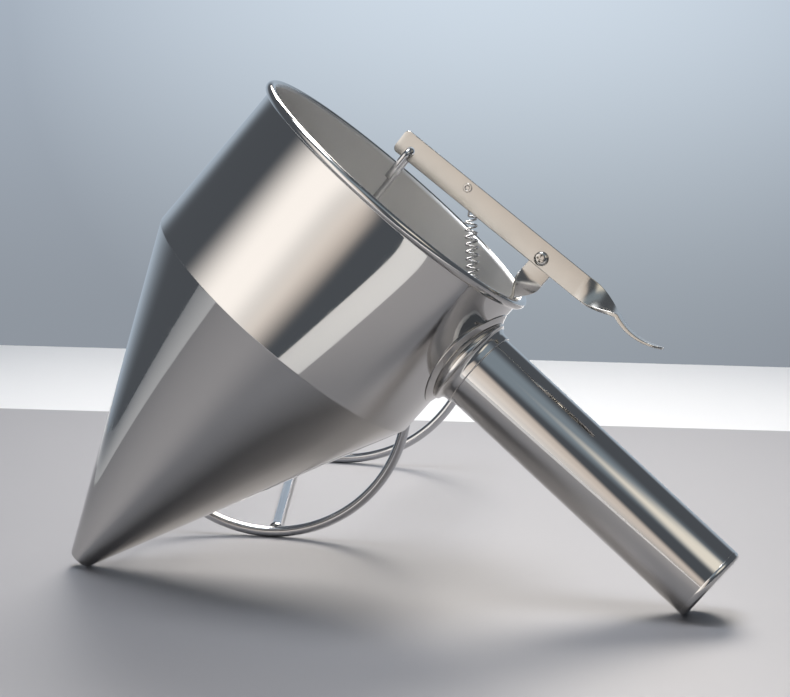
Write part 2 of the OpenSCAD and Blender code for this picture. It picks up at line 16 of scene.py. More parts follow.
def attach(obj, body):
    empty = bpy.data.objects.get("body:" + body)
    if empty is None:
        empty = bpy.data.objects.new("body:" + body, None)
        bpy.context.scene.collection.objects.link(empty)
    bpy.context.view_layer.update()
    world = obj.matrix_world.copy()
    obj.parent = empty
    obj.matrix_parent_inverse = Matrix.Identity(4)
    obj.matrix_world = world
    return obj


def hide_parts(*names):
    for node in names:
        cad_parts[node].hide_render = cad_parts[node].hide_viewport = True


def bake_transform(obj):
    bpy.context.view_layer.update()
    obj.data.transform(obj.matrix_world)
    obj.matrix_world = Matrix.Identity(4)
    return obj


bl_info = {
    "name": "Batter Dispenser Looks",
    "version": (1, 0, 0),
    "blender": (4, 5, 0),
    "location": "3D View > Sidebar > Dispenser",
    "description": "Builds a batter dispenser's polished pieces, its wire stand and its stage",
    "category": "Add Mesh",
}

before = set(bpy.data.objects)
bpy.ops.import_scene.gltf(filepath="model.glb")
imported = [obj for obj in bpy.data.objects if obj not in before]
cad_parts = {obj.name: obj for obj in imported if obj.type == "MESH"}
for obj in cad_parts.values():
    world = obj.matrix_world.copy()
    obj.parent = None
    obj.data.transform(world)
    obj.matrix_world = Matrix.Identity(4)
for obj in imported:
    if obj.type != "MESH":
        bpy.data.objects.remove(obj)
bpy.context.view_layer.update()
MM = 0.001
NEAR_AXIS = 0.02 * MM  # where a turned outline stops short of its axis


def size(name, description, mm):
    """A length setting whose default is given in millimetres"""
    return FloatProperty(name=name, description=description, default=mm * MM, unit="LENGTH",
                         precision=5)


def turn(name, description, degrees):
    """An angle setting whose default is given in degrees"""
    return FloatProperty(name=name, description=description, default=math.radians(degrees),
                         unit="ROTATION")


def linear(code):
    """Linear RGBA of an sRGB hex colour: c / 12.92 up to 0.04045, else
    ((c + 0.055) / 1.055) ^ 2.4"""
    c = np.array([int(code[i:i + 2], 16) for i in (1, 3, 5)]) / 255
    c = np.where(c <= 0.04045, c / 12.92, ((c + 0.055) / 1.055) ** 2.4)
    return (*c.tolist(), 1.0)


def colour(name, description, code):
    """A colour setting whose default is an sRGB hex value"""
    return FloatVectorProperty(name=name, description=description, default=linear(code), size=4,
                               subtype="COLOR", min=0, max=1)


class HopperSizes(bpy.types.PropertyGroup):
    """Sizes of the hopper and of the pose it lies in"""
    body_r: size("Body radius", "Outside radius of the straight band", 64)
    sheet: size("Sheet", "Thickness of the hopper's sheet", 1)
    band_h: size("Band height", "From the rim's top to the crease", 70)
    cone_h: size("Cone height", "From the crease to the outlet", 130)
    bead_r: size("Bead radius", "Radius of the bead rolled round the rim", 1.9)
    flare: size("Flare", "How far the wall swells out just under the bead", 0.22)
    flare_len: size("Flare length", "Depth over which the flare dies away", 5)
    crease_r: size("Crease radius", "Rounding between the band and the cone", 0.9)
    outlet_r: size("Outlet radius", "Radius of the outlet's bore", 3.5)
    outlet_len: size("Outlet length", "Length of the straight bore", 2.5)
    lip_r: size("Lip radius", "Radius of the outlet's rounded lip", 0.55)
    lean: turn("Lean", "Angle of the hopper's axis from upright", 39.0506)
    back: turn("Back lean", "Angle that it leans back on the stand", 6.5)
    place: FloatVectorProperty(name="Place", description="Middle of the rim in the row frame",
                               default=(0.0072669, -0.0889343, 0.157021), unit="LENGTH",
                               precision=6)


class HandleSizes(bpy.types.PropertyGroup):
    """Sizes of the handle, counted along its axis from the hopper's axis"""
    radius: size("Radius", "Radius of the tube", 16)
    wall: size("Wall", "Wall of the tube", 1.2)
    drop: size("Drop", "Depth of the handle's axis below the rim's top", 31)
    saddle_r: size("Saddle radius", "Radius of the plate against the hopper", 22.9)
    saddle_t: size("Saddle thickness", "Thickness of that plate", 1.2)
    feather: size("Feather", "Thickness of the saddle plate's edge", 0.3)
    seam: size("Seam", "Gap at the brazed seams", 0.05)
    foot_r: size("Foot radius", "Radius of the neck's foot", 19.4)
    foot_x: size("Foot end", "Where the neck's foot ends", 66.4)
    curve_r: size("Curve radius", "Radius of the neck's hollow curve", 2.6)
    collar_r: size("Collar radius", "Radius of the neck's collar", 16.8)
    tube_x: size("Tube start", "Where the tube starts", 71.2)
    tube_end: size("Tube end", "Where the end cap starts", 191)
    end_x: size("Handle end", "Where the handle ends", 194)
    edge_r: size("Edge radius", "Rounding of the end cap's edge", 2)
    crown: size("Crown", "Rise of the end cap's face in its middle", 0.15)
    bore_r: size("Bore radius", "Radius of the screw's hole through the plate and neck", 3.03)
    foot_edge: size("Foot edge", "Rounding of the neck's foot", 0.7)
    collar_edge: size("Collar edge", "Rounding of the neck's collar", 0.45)


class LeverSizes(bpy.types.PropertyGroup):
    """Sizes of the thumb lever, counted from its pivot along and across the strip"""
    pivot_x: size("Pivot place", "Pivot's distance from the hopper's axis", 60.4)
    pivot_z: size("Pivot height", "Pivot's height above the rim's top", 18)
    rise: turn("Rise", "Rise of the strip towards the thumb", 3.3)
    width: size("Width", "Width of the strip", 10)
    thick: size("Thickness", "Thickness of the strip", 1.6)
    edge: size("Edge", "Rounding of the strip's long edges", 0.28)
    middle_y: size("Middle", "Strip's middle beside the hopper's axis", -2.15)
    middle_v: size("Middle line", "Height of the strip's middle line above the pivot", 1.5)
    start: size("Start", "Hooked end of the strip", -73.5113)
    corner: size("Corner", "Corner radius of the hooked end", 2)
    hook_u: size("Hook hole", "Hook hole along the strip", -67.1113)
    hook_v: size("Hook hole height", "Hook hole above the pivot", 0.3)
    hook_r: size("Hook hole radius", "Radius of the hook hole", 1.75)
    pivot_r: size("Pivot hole radius", "Radius of the pivot's hole", 1.55)
    twist_u: size("Twist start", "Where the quarter-turn twist starts", 19.5)
    twist_len: size("Twist length", "Length of the twist", 17.5)
    tab_len: size("Tab length", "Length of the thumb tab", 21.5)
    tab_dip: size("Tab dip", "Dip of the thumb tab's curve", 2.2)
    tab_lift: size("Tab lift", "Lift of the thumb tab's tip", 1.2)
    thin: FloatProperty(name="Thinning", description="Share of the strip's thickness that the "
                        "rolled tab loses towards its tip", default=0.45, min=0, max=0.6)
    pin_u: size("Pin place", "Spring's pin along the strip", -40.1)
    pin_v: size("Pin height", "Spring's pin above the pivot", 3.3)
    pin_r: size("Pin radius", "Radius of the spring's pin", 1)
    pin_head: size("Pin head", "Radius of the pin's heads", 1.8)
    pin_gap: size("Pin gap", "Gap between the pin and its hole", 0.03)


class BracketSizes(bpy.types.PropertyGroup):
    """Sizes of the bracket and of the screw, washer and nut at the pivot"""
    width: size("Width", "Width of the bracket's strip", 10.4)
    thick: size("Thickness", "Thickness of the bracket's strip", 1.5)
    foot: size("Foot", "Length welded inside the band", 16)
    twist: size("Twist", "Height of the quarter-turn twist", 10)
    edge: size("Edge", "Rounding of the strip's long edges", 0.25)
    corner: size("Corner", "Corner radius of the foot", 1.5)
    screw_r: size("Screw radius", "Radius of the pivot screw", 1.5)
    pan_r: size("Head radius", "Radius of the screw's pan head", 2.9)
    pan_h: size("Head height", "Height of the pan head", 1.9)
    nut_w: size("Nut width", "Width across the nut's flats", 5.5)
    nut_t: size("Nut thickness", "Thickness of the nut", 2.4)
    nut_bore: size("Nut bore", "Radius of the nut's bore", 1.53)
    nut_mouth: size("Nut mouth", "Radius of the bore's countersunk ends", 1.9)
    pitch: size("Thread pitch", "Pitch of the screw's thread", 0.5)
    thread: size("Thread depth", "Depth of the screw's thread", 0.27)
    thread_out: size("Thread end", "Thread that stands out of the nut", 0.9)


class SpringSizes(bpy.types.PropertyGroup):
    """Sizes of the return spring"""
    wire_r: size("Wire radius", "Radius of the spring's wire", 0.4)
    coil_r: size("Coil radius", "Radius of the coil at the wire's middle", 2.25)
    coil_y: size("Coil place", "Coil's middle beside the hopper's axis", 1.4)
    wire_y: size("Top wire place", "The upper wire and its loop beside the hopper's axis", -0.85)
    foot_y: size("Foot wire place", "The lower wire beside the hopper's axis", 3.65)
    loop_r: size("Loop radius", "Radius of the loop round the pin", 1.5)
    top: size("Top wire", "Straight wire above the coil", 11)
    foot: size("Foot wire", "Straight wire below the coil", 5)
    foot_x: size("Foot place", "Where the hook lies inside the wall", 62.3687)
    foot_z: size("Foot height", "Height of the hook's start", -24.7)
    turns: IntProperty(name="Turns", description="Whole turns of the coil, before a last half",
                       default=15)


class PlungerSizes(bpy.types.PropertyGroup):
    """Sizes of the plunger's rod and plug"""
    rod_r: size("Rod radius", "Radius of the rod", 1.4)
    half: size("Half grip", "Half the straight part through the hook hole", 0.9)
    bend_r: size("Bend radius", "Radius of the hook's bends", 2.4)
    tail: size("Tail", "Length of the hook's tail", 11)
    plug_len: size("Plug length", "Length of the plug's cone", 12)
    nose: size("Nose", "Depth of the plug's nose in the bore", 1)
    shoulder: size("Shoulder", "Height of the plug's shoulder", 4)
    seat: size("Rod seat", "Depth of the rod in the plug", 8)
    gap: size("Gap", "Gap between the plug and its seat", 0.3)


class StandSizes(bpy.types.PropertyGroup):
    """Sizes of the wire stand and its place on the table"""
    wire_r: size("Wire radius", "Radius of the stand's wire", 2.25)
    top_r: size("Top ring", "Radius of the top ring", 59)
    base_r: size("Base ring", "Radius of the base ring", 66)
    height: size("Height", "Distance between the rings", 179)
    leg_turn: turn("Leg turn", "First leg from the top ring's lowest point", 2.7)
    leg_lean: turn("Leg lean", "How far a leg runs round on its way down", 21.5)
    turned: turn("Turn", "Turn of the stand on the table", 5.5)
    weld: size("Weld", "How far the weld swells a leg's end", 0.7)
    top_mid: FloatVectorProperty(name="Top middle", description="Middle of the top ring",
                                 default=(-0.0625721, -0.0282764, 0.0612049), unit="LENGTH",
                                 precision=6)
    base_mid: FloatVectorProperty(name="Base middle", description="Middle of the base ring",
                                  default=(-0.0797153, 0.149763, 0.0681996), unit="LENGTH",
                                  precision=6)


class Finishes(bpy.types.PropertyGroup):
    """Colours of the steels"""
    polished: colour("Polished", "Mirror-polished stainless sheet", "#cdcbc8")
    satin: colour("Satin", "Satin stainless sheet inside the hopper", "#dcdbd9")
    strip: colour("Strip", "Satin stainless strip", "#c6c3bd")
    wire: colour("Wire", "Electropolished stand wire", "#c9c9ca")
    spring: colour("Spring", "Drawn spring wire", "#cfcfd0")
    turned: colour("Turned", "Turned and nickel-plated steel", "#c8c5c0")


class StageSettings(bpy.types.PropertyGroup):
    """Floor, backdrop and lights"""
    board: colour("Board", "Pale grey board that the dispenser lies on", "#a2a2a6")
    table: colour("Table", "White table under the board", "#eff1f3")
    turned: turn("Board turn", "Turn of the board on the table", 12.3)
    key_power: FloatProperty(name="Key light", description="Power of the light behind",
                             default=2.9, unit="POWER")
    top_power: FloatProperty(name="Top light", description="Power of the light overhead",
                             default=8, unit="POWER")
    front_power: FloatProperty(name="Front light", description="Power of the light on the "
                               "table's front", default=0.22, unit="POWER")


def sizes(name):
    """The scene's group of sizes of this name"""
    return getattr(bpy.context.scene, name + "_sizes")


# ---------------------------------------------------------------------------------------------
# Places: each function takes an array of points and gives them in the next frame

def place_hopper(p):
    """Row frame = Rx(-back) Ry(lean) p + place"""
    s = sizes("hopper")
    m = Matrix.Rotation(-s.back, 3, "X") @ Matrix.Rotation(s.lean, 3, "Y")
    return p @ np.array(m).T + np.array(s.place)


def place_handle(p):
    """Drawn along +Z, laid along the handle: (x, y, z) goes to (z, y, -x - drop)"""
    drop = sizes("handle").drop
    return place_hopper(np.stack([p[..., 2], p[..., 1], -p[..., 0] - drop], -1))


def lever_point(p):
    """The lever's own frame turned by its rise about the hinge and moved to the pivot"""
    s = sizes("lever")
    c, k = math.cos(s.rise), math.sin(s.rise)
    return np.stack([s.pivot_x + p[..., 0] * c - p[..., 2] * k, p[..., 1],
                     s.pivot_z + p[..., 0] * k + p[..., 2] * c], -1)


def place_lever(p):
    """The lever's own frame in the row frame"""
    return place_hopper(lever_point(p))


def place_screw(p):
    """Drawn along +Z, laid towards the camera's side at the pivot: (x, y, z) goes to (x, -z, y)"""
    s = sizes("lever")
    return place_hopper(np.stack([p[..., 0] + s.pivot_x, -p[..., 2], p[..., 1] + s.pivot_z], -1))


def rod_frame():
    """Hook point, length and rotation of the rod, which leans from its foot to its top"""
    h, v, r = map(sizes, ("hopper", "lever", "plunger"))
    hook = lever_point(np.array([v.hook_u, v.middle_y, v.hook_v]))
    back = r.half + r.bend_r
    plug_top = -h.band_h - h.cone_h + h.outlet_len + r.plug_len + r.shoulder
    way = np.array([0, 0, plug_top - r.seat]) - (hook + np.array([0, back, 0]))
    long = float(np.linalg.norm(way))
    m = (Matrix.Rotation(math.atan(way[0] / way[2]), 3, "Y")
         @ Matrix.Rotation(-math.asin(way[1] / long), 3, "X"))
    return hook, long, np.array(m)


def place_rod(p):
    """The rod's own frame, with the hook hole at its origin, in the row frame"""
    hook, _, m = rod_frame()
    return place_hopper(p @ m.T + hook)


def place_stand(p):
    """The stand's own frame, with its top ring at z = 0: X runs level, Z runs from base to top"""
    s = sizes("stand")
    top, base = np.array(s.top_mid), np.array(s.base_mid)
    z = (top - base) / np.linalg.norm(top - base)
    x = np.array([math.cos(s.turned), math.sin(s.turned), 0])
    y = np.cross(z, x)
    return p @ np.stack([x, y, z]) + top


# ---------------------------------------------------------------------------------------------
# Shapes: whole arrays of points

def arc(middle, r, start, stop, count):
    """Points middle + r (cos a, sin a), with a from start to stop in degrees"""
    a = np.radians(np.linspace(start, stop, count))
    return np.array(middle) + r * np.stack([np.cos(a), np.sin(a)], -1)


def around(cols):
    """cols equal steps of a full turn"""
    return np.linspace(0, 2 * math.pi, cols, endpoint=False)


def rounded(corners, radii, steps=7, guard=0.06 * MM, least=0.012 * MM):
    """A closed outline with each corner turned to an arc.

    At a corner P with unit ways a and b to its neighbours and half angle h, the arc touches the
    sides at P + a r / tan h and P + b r / tan h, about P + (a + b) / |a + b| r / sin h. A point
    a guard's length before and after each arc keeps the flat sides flat when they are shaded. A
    sharp corner has the least radius.
    """
    p = np.array(corners, float)
    r = np.maximum(np.array(radii, float), least)[:, None]
    a = np.roll(p, 1, 0) - p
    b = np.roll(p, -1, 0) - p
    a /= np.linalg.norm(a, axis=1, keepdims=True)
    b /= np.linalg.norm(b, axis=1, keepdims=True)
    half = np.arccos(np.clip((a * b).sum(1, keepdims=True), -1, 1)) / 2
    mid = p + (a + b) / np.linalg.norm(a + b, axis=1, keepdims=True) * r / np.sin(half)
    first, last = p + a * r / np.tan(half), p + b * r / np.tan(half)
    sweep = (math.pi - 2 * half)[:, None]
    t = np.linspace(0, 1, steps)[None, :, None]
    bend = (np.sin((1 - t) * sweep) * (first - mid)[:, None]
            + np.sin(t * sweep) * (last - mid)[:, None]) / np.sin(sweep)
    ring = np.concatenate([(first + a * guard)[:, None], mid[:, None] + bend,
                           (last + b * guard)[:, None]], 1)
    return ring.reshape(-1, 2)


def turned_about(r, z, cols):
    """(r cos t, r sin t, z), with t in cols equal steps, where r may change along t"""
    t = around(cols)
    return np.stack([r * np.cos(t), r * np.sin(t), z + 0 * t], -1)


def revolved(profile, cols):
    """(r, z) turned round Z"""
    return turned_about(profile[:, :1], profile[:, 1:], cols)


def circle(r, cols):
    """A round section of radius r"""
    t = around(cols)
    return r * np.stack([np.cos(t), np.sin(t)], -1)


def carried(path, hint, section):
    """A section carried along a path: path + s side + u up. With the path's tangent d, side is
    the hint square to d and up is d x side. The section is one for all or one for each point."""
    d = np.gradient(path, axis=0)
    d /= np.linalg.norm(d, axis=1, keepdims=True)
    side = hint - d * (hint * d).sum(1, keepdims=True)
    side /= np.linalg.norm(side, axis=1, keepdims=True)
    up = np.cross(d, side)
    return (path[:, None] + section[..., :1] * side[:, None] + section[..., 1:] * up[:, None])


def curved(p0, d0, p1, d1, count):
    """A cubic from p0 to p1 with end tangents d0 and d1: (2t3-3t2+1) p0 + (t3-2t2+t) d0
    + (3t2-2t3) p1 + (t3-t2) d1"""
    t = np.linspace(0, 1, count)[:, None]
    return ((2 * t ** 3 - 3 * t ** 2 + 1) * p0 + (t ** 3 - 2 * t ** 2 + t) * d0
            + (3 * t ** 2 - 2 * t ** 3) * p1 + (t ** 3 - t ** 2) * d1)


def smooth(a, b, x):
    """The step 3t2 - 2t3, with t from 0 at a to 1 at b"""
    t = np.clip((x - a) / (b - a), 0, 1)
    return t * t * (3 - 2 * t)


def quarter_turn(share):
    """Angle of a strip's twist at a share of its length: 90 degrees times seven tenths of the
    share and three tenths of its smooth step"""
    f = np.clip(share, 0, 1)
    return math.pi / 2 * (0.7 * f + 0.3 * smooth(0, 1, f))


def narrowed(r, d):
    """What a rounded end of radius r takes off a strip's width at the distance d from its tip:
    2 sqrt(r2 - (r - d)2) - 2 r"""
    d = np.clip(d, 0, r)
    return 2 * np.sqrt(r ** 2 - (r - d) ** 2) - 2 * r


def linked(name, data):
    """A new object in the scene"""
    thing = bpy.data.objects.new(name, data)
    bpy.context.scene.collection.objects.link(thing)
    return thing


def skin(name, grid, wrap_rows=False, caps=False, inside=None, sharp=None):
    """A mesh piece from a grid of points whose columns close on themselves.

    Rows run along the piece and close too where wrap_rows is set, or else each end is closed by
    a fan about its middle where caps is set. The UV map is the way round and the way along, in
    metres. Rows for which inside is true get the second material. Faces are turned outwards by
    the sign of the enclosed volume, the sum of a . (b x c) / 6 over the triangles.
    """
    rows, cols = grid.shape[:2]
    index = np.arange(rows * cols).reshape(rows, cols)
    last = rows if wrap_rows else rows - 1
    i = np.arange(last)[:, None]
    j = np.arange(cols)[None, :]
    i2, j2 = (i + 1) % rows, (j + 1) % cols
    quads = np.stack([index[i, j], index[i, j2], index[i2, j2], index[i2, j]], -1).reshape(-1, 4)
    points = grid.reshape(-1, 3)
    step_v = np.linalg.norm(np.roll(grid, -1, 0) - grid, axis=-1).mean(1)
    step_u = np.linalg.norm(np.roll(grid, -1, 1) - grid, axis=-1).max(0)
    v = np.concatenate([[0], np.cumsum(step_v)])
    u = np.concatenate([[0], np.cumsum(step_u)])
    uj, uj2, vi, vi2 = np.broadcast_arrays(u[j], u[j + 1], v[i], v[i + 1])
    uv = np.stack([uj, vi, uj2, vi, uj2, vi2, uj, vi2], -1).reshape(-1, 4, 2)
    a, b, c, d = (points[quads[:, k]] for k in range(4))
    volume = (a * np.cross(b, c)).sum() + (a * np.cross(c, d)).sum()
    fans = np.zeros((0, 3), int)
    if caps:
        for row, order in ((0, [2, 1, 0]), (rows - 1, [0, 1, 2])):
            ring = index[row]
            points = np.vstack([points, points[ring].mean(0)])
            fan = np.stack([ring, np.roll(ring, -1), np.full(cols, len(points) - 1)], -1)
            fans = np.concatenate([fans, fan[:, order]])
        a, b, c = (points[fans[:, k]] for k in range(3))
        volume += (a * np.cross(b, c)).sum()
    if volume < 0:
        quads, uv, fans = quads[:, ::-1], uv[:, ::-1], fans[:, ::-1]
    mesh = bpy.data.meshes.new(name)
    mesh.from_pydata(points.tolist(), [], quads.tolist() + fans.tolist())
    layer = mesh.uv_layers.new(name="Surface")
    layer.data.foreach_set("uv", np.concatenate([uv.ravel(), np.zeros(2 * fans.size)]))
    mesh.polygons.foreach_set("use_smooth", np.ones(len(mesh.polygons), bool))
    if inside is not None:
        which = np.zeros(len(mesh.polygons), np.int32)
        which[:last * cols] = np.repeat(np.asarray(inside, np.int32)[:last], cols)
        for _ in range(2):
            mesh.materials.append(None)
        mesh.polygons.foreach_set("material_index", which)
    mesh.update()
    if sharp:
        mesh.set_sharp_from_angle(angle=math.radians(sharp))
    return linked(name, mesh)


def finish(piece, node, body, slot, *materials):
    """Gives a piece its steels and its place among the CAD's bodies and nodes; the slot is not
    used
    """
    mesh = piece.data
    while len(mesh.materials) < len(materials):
        mesh.materials.append(None)
    for i, material in enumerate(materials):
        mesh.materials[i] = steel(material)
    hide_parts(node)
    if body:
        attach(piece, body)
    return piece


def cut(piece, *tools):
    """Cuts closed tool pieces out of a piece and removes the tools"""
    for tool in tools:
        hole = piece.modifiers.new("Cut", "BOOLEAN")
        hole.operation = "DIFFERENCE"
        hole.solver = "EXACT"
        hole.object = tool
    graph = bpy.context.evaluated_depsgraph_get()
    mesh = bpy.data.meshes.new_from_object(piece.evaluated_get(graph))
    piece.modifiers.clear()
    old, piece.data = piece.data, mesh
    mesh.name = old.name
    bpy.data.meshes.remove(old)
    mesh.set_sharp_from_angle(angle=math.radians(32))
    for tool in tools:
        bpy.data.meshes.remove(tool.data)
    return piece


# ---------------------------------------------------------------------------------------------
# Materials

def put(tree, kind, inputs=None, **settings):
    """Adds a node: its settings by name, and its inputs, each a value or another node's socket"""
    node = tree.nodes.new(kind)
    for key, value in settings.items():
        setattr(node, key, value)
    for key, value in (inputs or {}).items():
        if isinstance(value, bpy.types.NodeSocket):
            tree.links.new(value, node.inputs[key])
        else:
            node.inputs[key].default_value = value
    return node


def new_material(name):
    """A material with an empty node tree, and that tree"""
    material = bpy.data.materials.new(name)
    material.use_nodes = True
    material.node_tree.nodes.clear()
    return material, material.node_tree


# Each steel has its colour's setting, its roughness and how far that varies, its fine lines
# (millimetres round and along the surface, micrometres deep), the slow dents in its sheet
# (millimetres wide, micrometres deep) and the size in millimetres of patches left by handling
STEELS = {
    # Sheet buffed to a mirror: crisp reflections, a faint swim where the sheet was drawn, and
    # buffing lines that are only just there round the part
    "mirror_polished_stainless": ("polished", 0.05, 0.015, (40, 0.9, 0.35), (26, 16), 9),
    # The same sheet brushed inside along its depth: soft reflections that spread into streaks
    "satin_stainless_inside": ("satin", 0.5, 0.05, (0.9, 60, 8), (30, 6), 14),
    # Strip as rolled and linished: a soft sheen with fine lines along its length
    "satin_stainless_strip": ("strip", 0.2, 0.04, (0.5, 30, 5), (12, 8), 6),
    # Round wire drawn, bent, welded and electropolished: bright, with soft drawing lines
    "electropolished_wire": ("wire", 0.11, 0.03, (0.8, 25, 3), (9, 8), 7),
    # Hard-drawn spring wire: bright, with a slight haze from the die
    "drawn_spring_wire": ("spring", 0.14, 0.03, (0.4, 12, 2), (5, 4), 4),
    # Turned and plated screws, nut and plug: fine turning lines round the axis
    "turned_nickelled_steel": ("turned", 0.16, 0.03, (20, 0.35, 3), (6, 4), 4),
}


def steel(name):
    """The bare steel finish of this name in STEELS, made when it is first asked for"""
    if name in bpy.data.materials:
        return bpy.data.materials[name]
    base, rough, spread, grain, waves, rub = STEELS[name]
    material, tree = new_material(name)
    uv = put(tree, "ShaderNodeUVMap", uv_map="Surface")
    place = put(tree, "ShaderNodeTexCoord")
    lines = put(tree, "ShaderNodeMapping", {
        "Vector": uv.outputs["UV"],
        "Scale": (1000 / grain[0], 1000 / grain[1], 1)})
    fine = put(tree, "ShaderNodeTexNoise", {
        "Vector": lines.outputs["Vector"], "Scale": 1.0, "Detail": 2.0, "Roughness": 0.5})
    slow = put(tree, "ShaderNodeTexNoise", {
        "Vector": place.outputs["Object"], "Scale": 1000 / waves[0], "Detail": 1.0})
    wipe = put(tree, "ShaderNodeTexNoise", {
        "Vector": place.outputs["Object"], "Scale": 1000 / rub, "Detail": 4.0, "Roughness": 0.6})
    gloss = put(tree, "ShaderNodeMapRange", {
        "Value": wipe.outputs["Fac"], "From Min": 0.3, "From Max": 0.7,
        "To Min": rough - spread, "To Max": rough + spread})
    dents = put(tree, "ShaderNodeBump", {
        "Height": slow.outputs["Fac"], "Strength": 1.0, "Distance": waves[1] * 1e-6})
    bumps = put(tree, "ShaderNodeBump", {
        "Height": fine.outputs["Fac"], "Strength": 1.0, "Distance": grain[2] * 1e-6,
        "Normal": dents.outputs["Normal"]})
    shader = put(tree, "ShaderNodeBsdfPrincipled", {
        "Base Color": tuple(getattr(bpy.context.scene.finishes, base)), "Metallic": 1.0,
        "Roughness": gloss.outputs["Result"], "Normal": bumps.outputs["Normal"]})
    put(tree, "ShaderNodeOutputMaterial", {"Surface": shader.outputs["BSDF"]})
    return material


# ---------------------------------------------------------------------------------------------
# The pieces

def make_band():
    """Band and bead: up the inside, over the bead's circle, through a small hollow under it and
    down the outside, where r = body_r + flare e^(-depth / flare_len), to half the crease's arc"""
    s = sizes("hopper")
    inner, wall = s.body_r - s.sheet, s.body_r + s.flare
    bead = np.array([inner + s.bead_r, -s.bead_r])
    hollow = 0.35 * MM
    drop = math.sqrt((s.bead_r + hollow) ** 2 - (wall + hollow - bead[0]) ** 2)
    mid = np.array([wall + hollow, bead[1] - drop])
    meet = math.degrees(math.atan2(mid[1] - bead[1], mid[0] - bead[0]))
    half = math.atan((s.body_r - s.outlet_r - 2 * s.lip_r) / s.cone_h) / 2
    tangent = s.crease_r * math.tan(half)
    depth = np.concatenate([np.linspace(0.2, 22, 26), [30, 40, 52]]) * MM
    side = np.stack([s.body_r + s.flare * np.exp(-depth / s.flare_len), mid[1] - depth], -1)
    up_inside = np.array([[inner - 0.1 * MM, -s.band_h], [inner - 0.05 * MM, -s.band_h + 1 * MM],
                          [inner, -s.band_h + 3 * MM], [inner, -s.bead_r - 3 * MM],
                          [inner, -s.bead_r - 0.1 * MM]])
    bead_inside = 7  # the satin ends at this row of the bead
    profile = np.concatenate([
        up_inside,
        arc(bead, s.bead_r, 180, meet, 40),
        arc(mid, hollow, meet + 180, 180, 9)[1:],
        side,
        [[s.body_r, -s.band_h + tangent + 0.3 * MM]],
        arc([s.body_r - s.crease_r, -s.band_h + tangent], s.crease_r, 0, -math.degrees(half), 7),
    ])
    inside = np.arange(len(profile)) < len(up_inside) + bead_inside
    inside[-1] = True
    grid = place_hopper(revolved(profile, 288))
    piece = skin("hopper_band_skin", grid, wrap_rows=True, inside=inside)
    finish(piece, "hopper_band", "hopper", "polished_steel",
           "mirror_polished_stainless", "satin_stainless_inside")


def make_cone():
    """Cone: the other half of the crease's arc, the straight side, the outlet's lip, its bore and
    the inside back up to the crease"""
    s = sizes("hopper")
    tip = s.outlet_r + 2 * s.lip_r
    angle = math.atan((s.body_r - tip) / s.cone_h)
    tangent = s.crease_r * math.tan(angle / 2)
    low = -s.band_h - s.cone_h
    inner = s.body_r - s.sheet / math.cos(angle)
    lip = arc([s.outlet_r + s.lip_r, low + s.lip_r], s.lip_r, -10, -180, 12)
    crease = arc([s.body_r - s.crease_r, -s.band_h + tangent], s.crease_r,
                 -math.degrees(angle) / 2, -math.degrees(angle), 7)
    along = np.array([-math.sin(angle), -math.cos(angle)])
    reach = (s.cone_h - s.lip_r) / math.cos(angle)
    stops = np.array([0.3, 4, 20, 50, 90, 120]) * MM
    outer = crease[-1] + stops[:, None] * along
    seat = low + s.outlet_len
    outside = np.concatenate([crease, outer, crease[-1:] + (reach - 0.8 * MM) * along, lip])
    profile = np.concatenate([
        outside,
        [[s.outlet_r, seat - 0.3 * MM], [s.outlet_r, seat],
         [s.outlet_r + 0.3 * MM, seat + 0.6 * MM], [inner - 1 * MM, -s.band_h - 2 * MM],
         [inner, -s.band_h]],
    ])
    inside = np.arange(len(profile)) >= len(outside) - 2
    grid = place_hopper(revolved(profile, 288))
    piece = skin("hopper_cone_skin", grid, wrap_rows=True, inside=inside)
    finish(piece, "hopper_cone", "hopper", "polished_steel",
           "mirror_polished_stainless", "satin_stainless_inside")


def wrapped(outline, cols):
    """An outline (radius about the handle, height over the hopper's axis) turned round the
    handle's axis and bent to the hopper: x = sqrt(height^2 - (radius sin t)^2)"""
    t = around(cols)
    r, h = outline[:, :1], outline[:, 1:]
    x, y = r * np.cos(t), r * np.sin(t)
    return np.stack([x, y, np.sqrt(h ** 2 - y ** 2)], -1)


def make_saddle():
    """Saddle plate: a ring outline, feathered towards its edge, bent to the hopper's wall"""
    s, h = sizes("handle"), sizes("hopper")
    low, high = h.body_r + s.seam, h.body_r + s.saddle_t
    outline = rounded([[s.bore_r, low], [s.saddle_r, low], [s.saddle_r, low + s.feather],
                       [s.foot_r + 0.5 * MM, high], [s.bore_r, high]],
                      [0, 0.05 * MM, 0.12 * MM, 1.5 * MM, 0])
    grid = place_handle(wrapped(outline, 224))
    piece = skin("handle_saddle_skin", grid, wrap_rows=True)
    finish(piece, "handle_saddle", "hopper", "polished_steel", "mirror_polished_stainless")


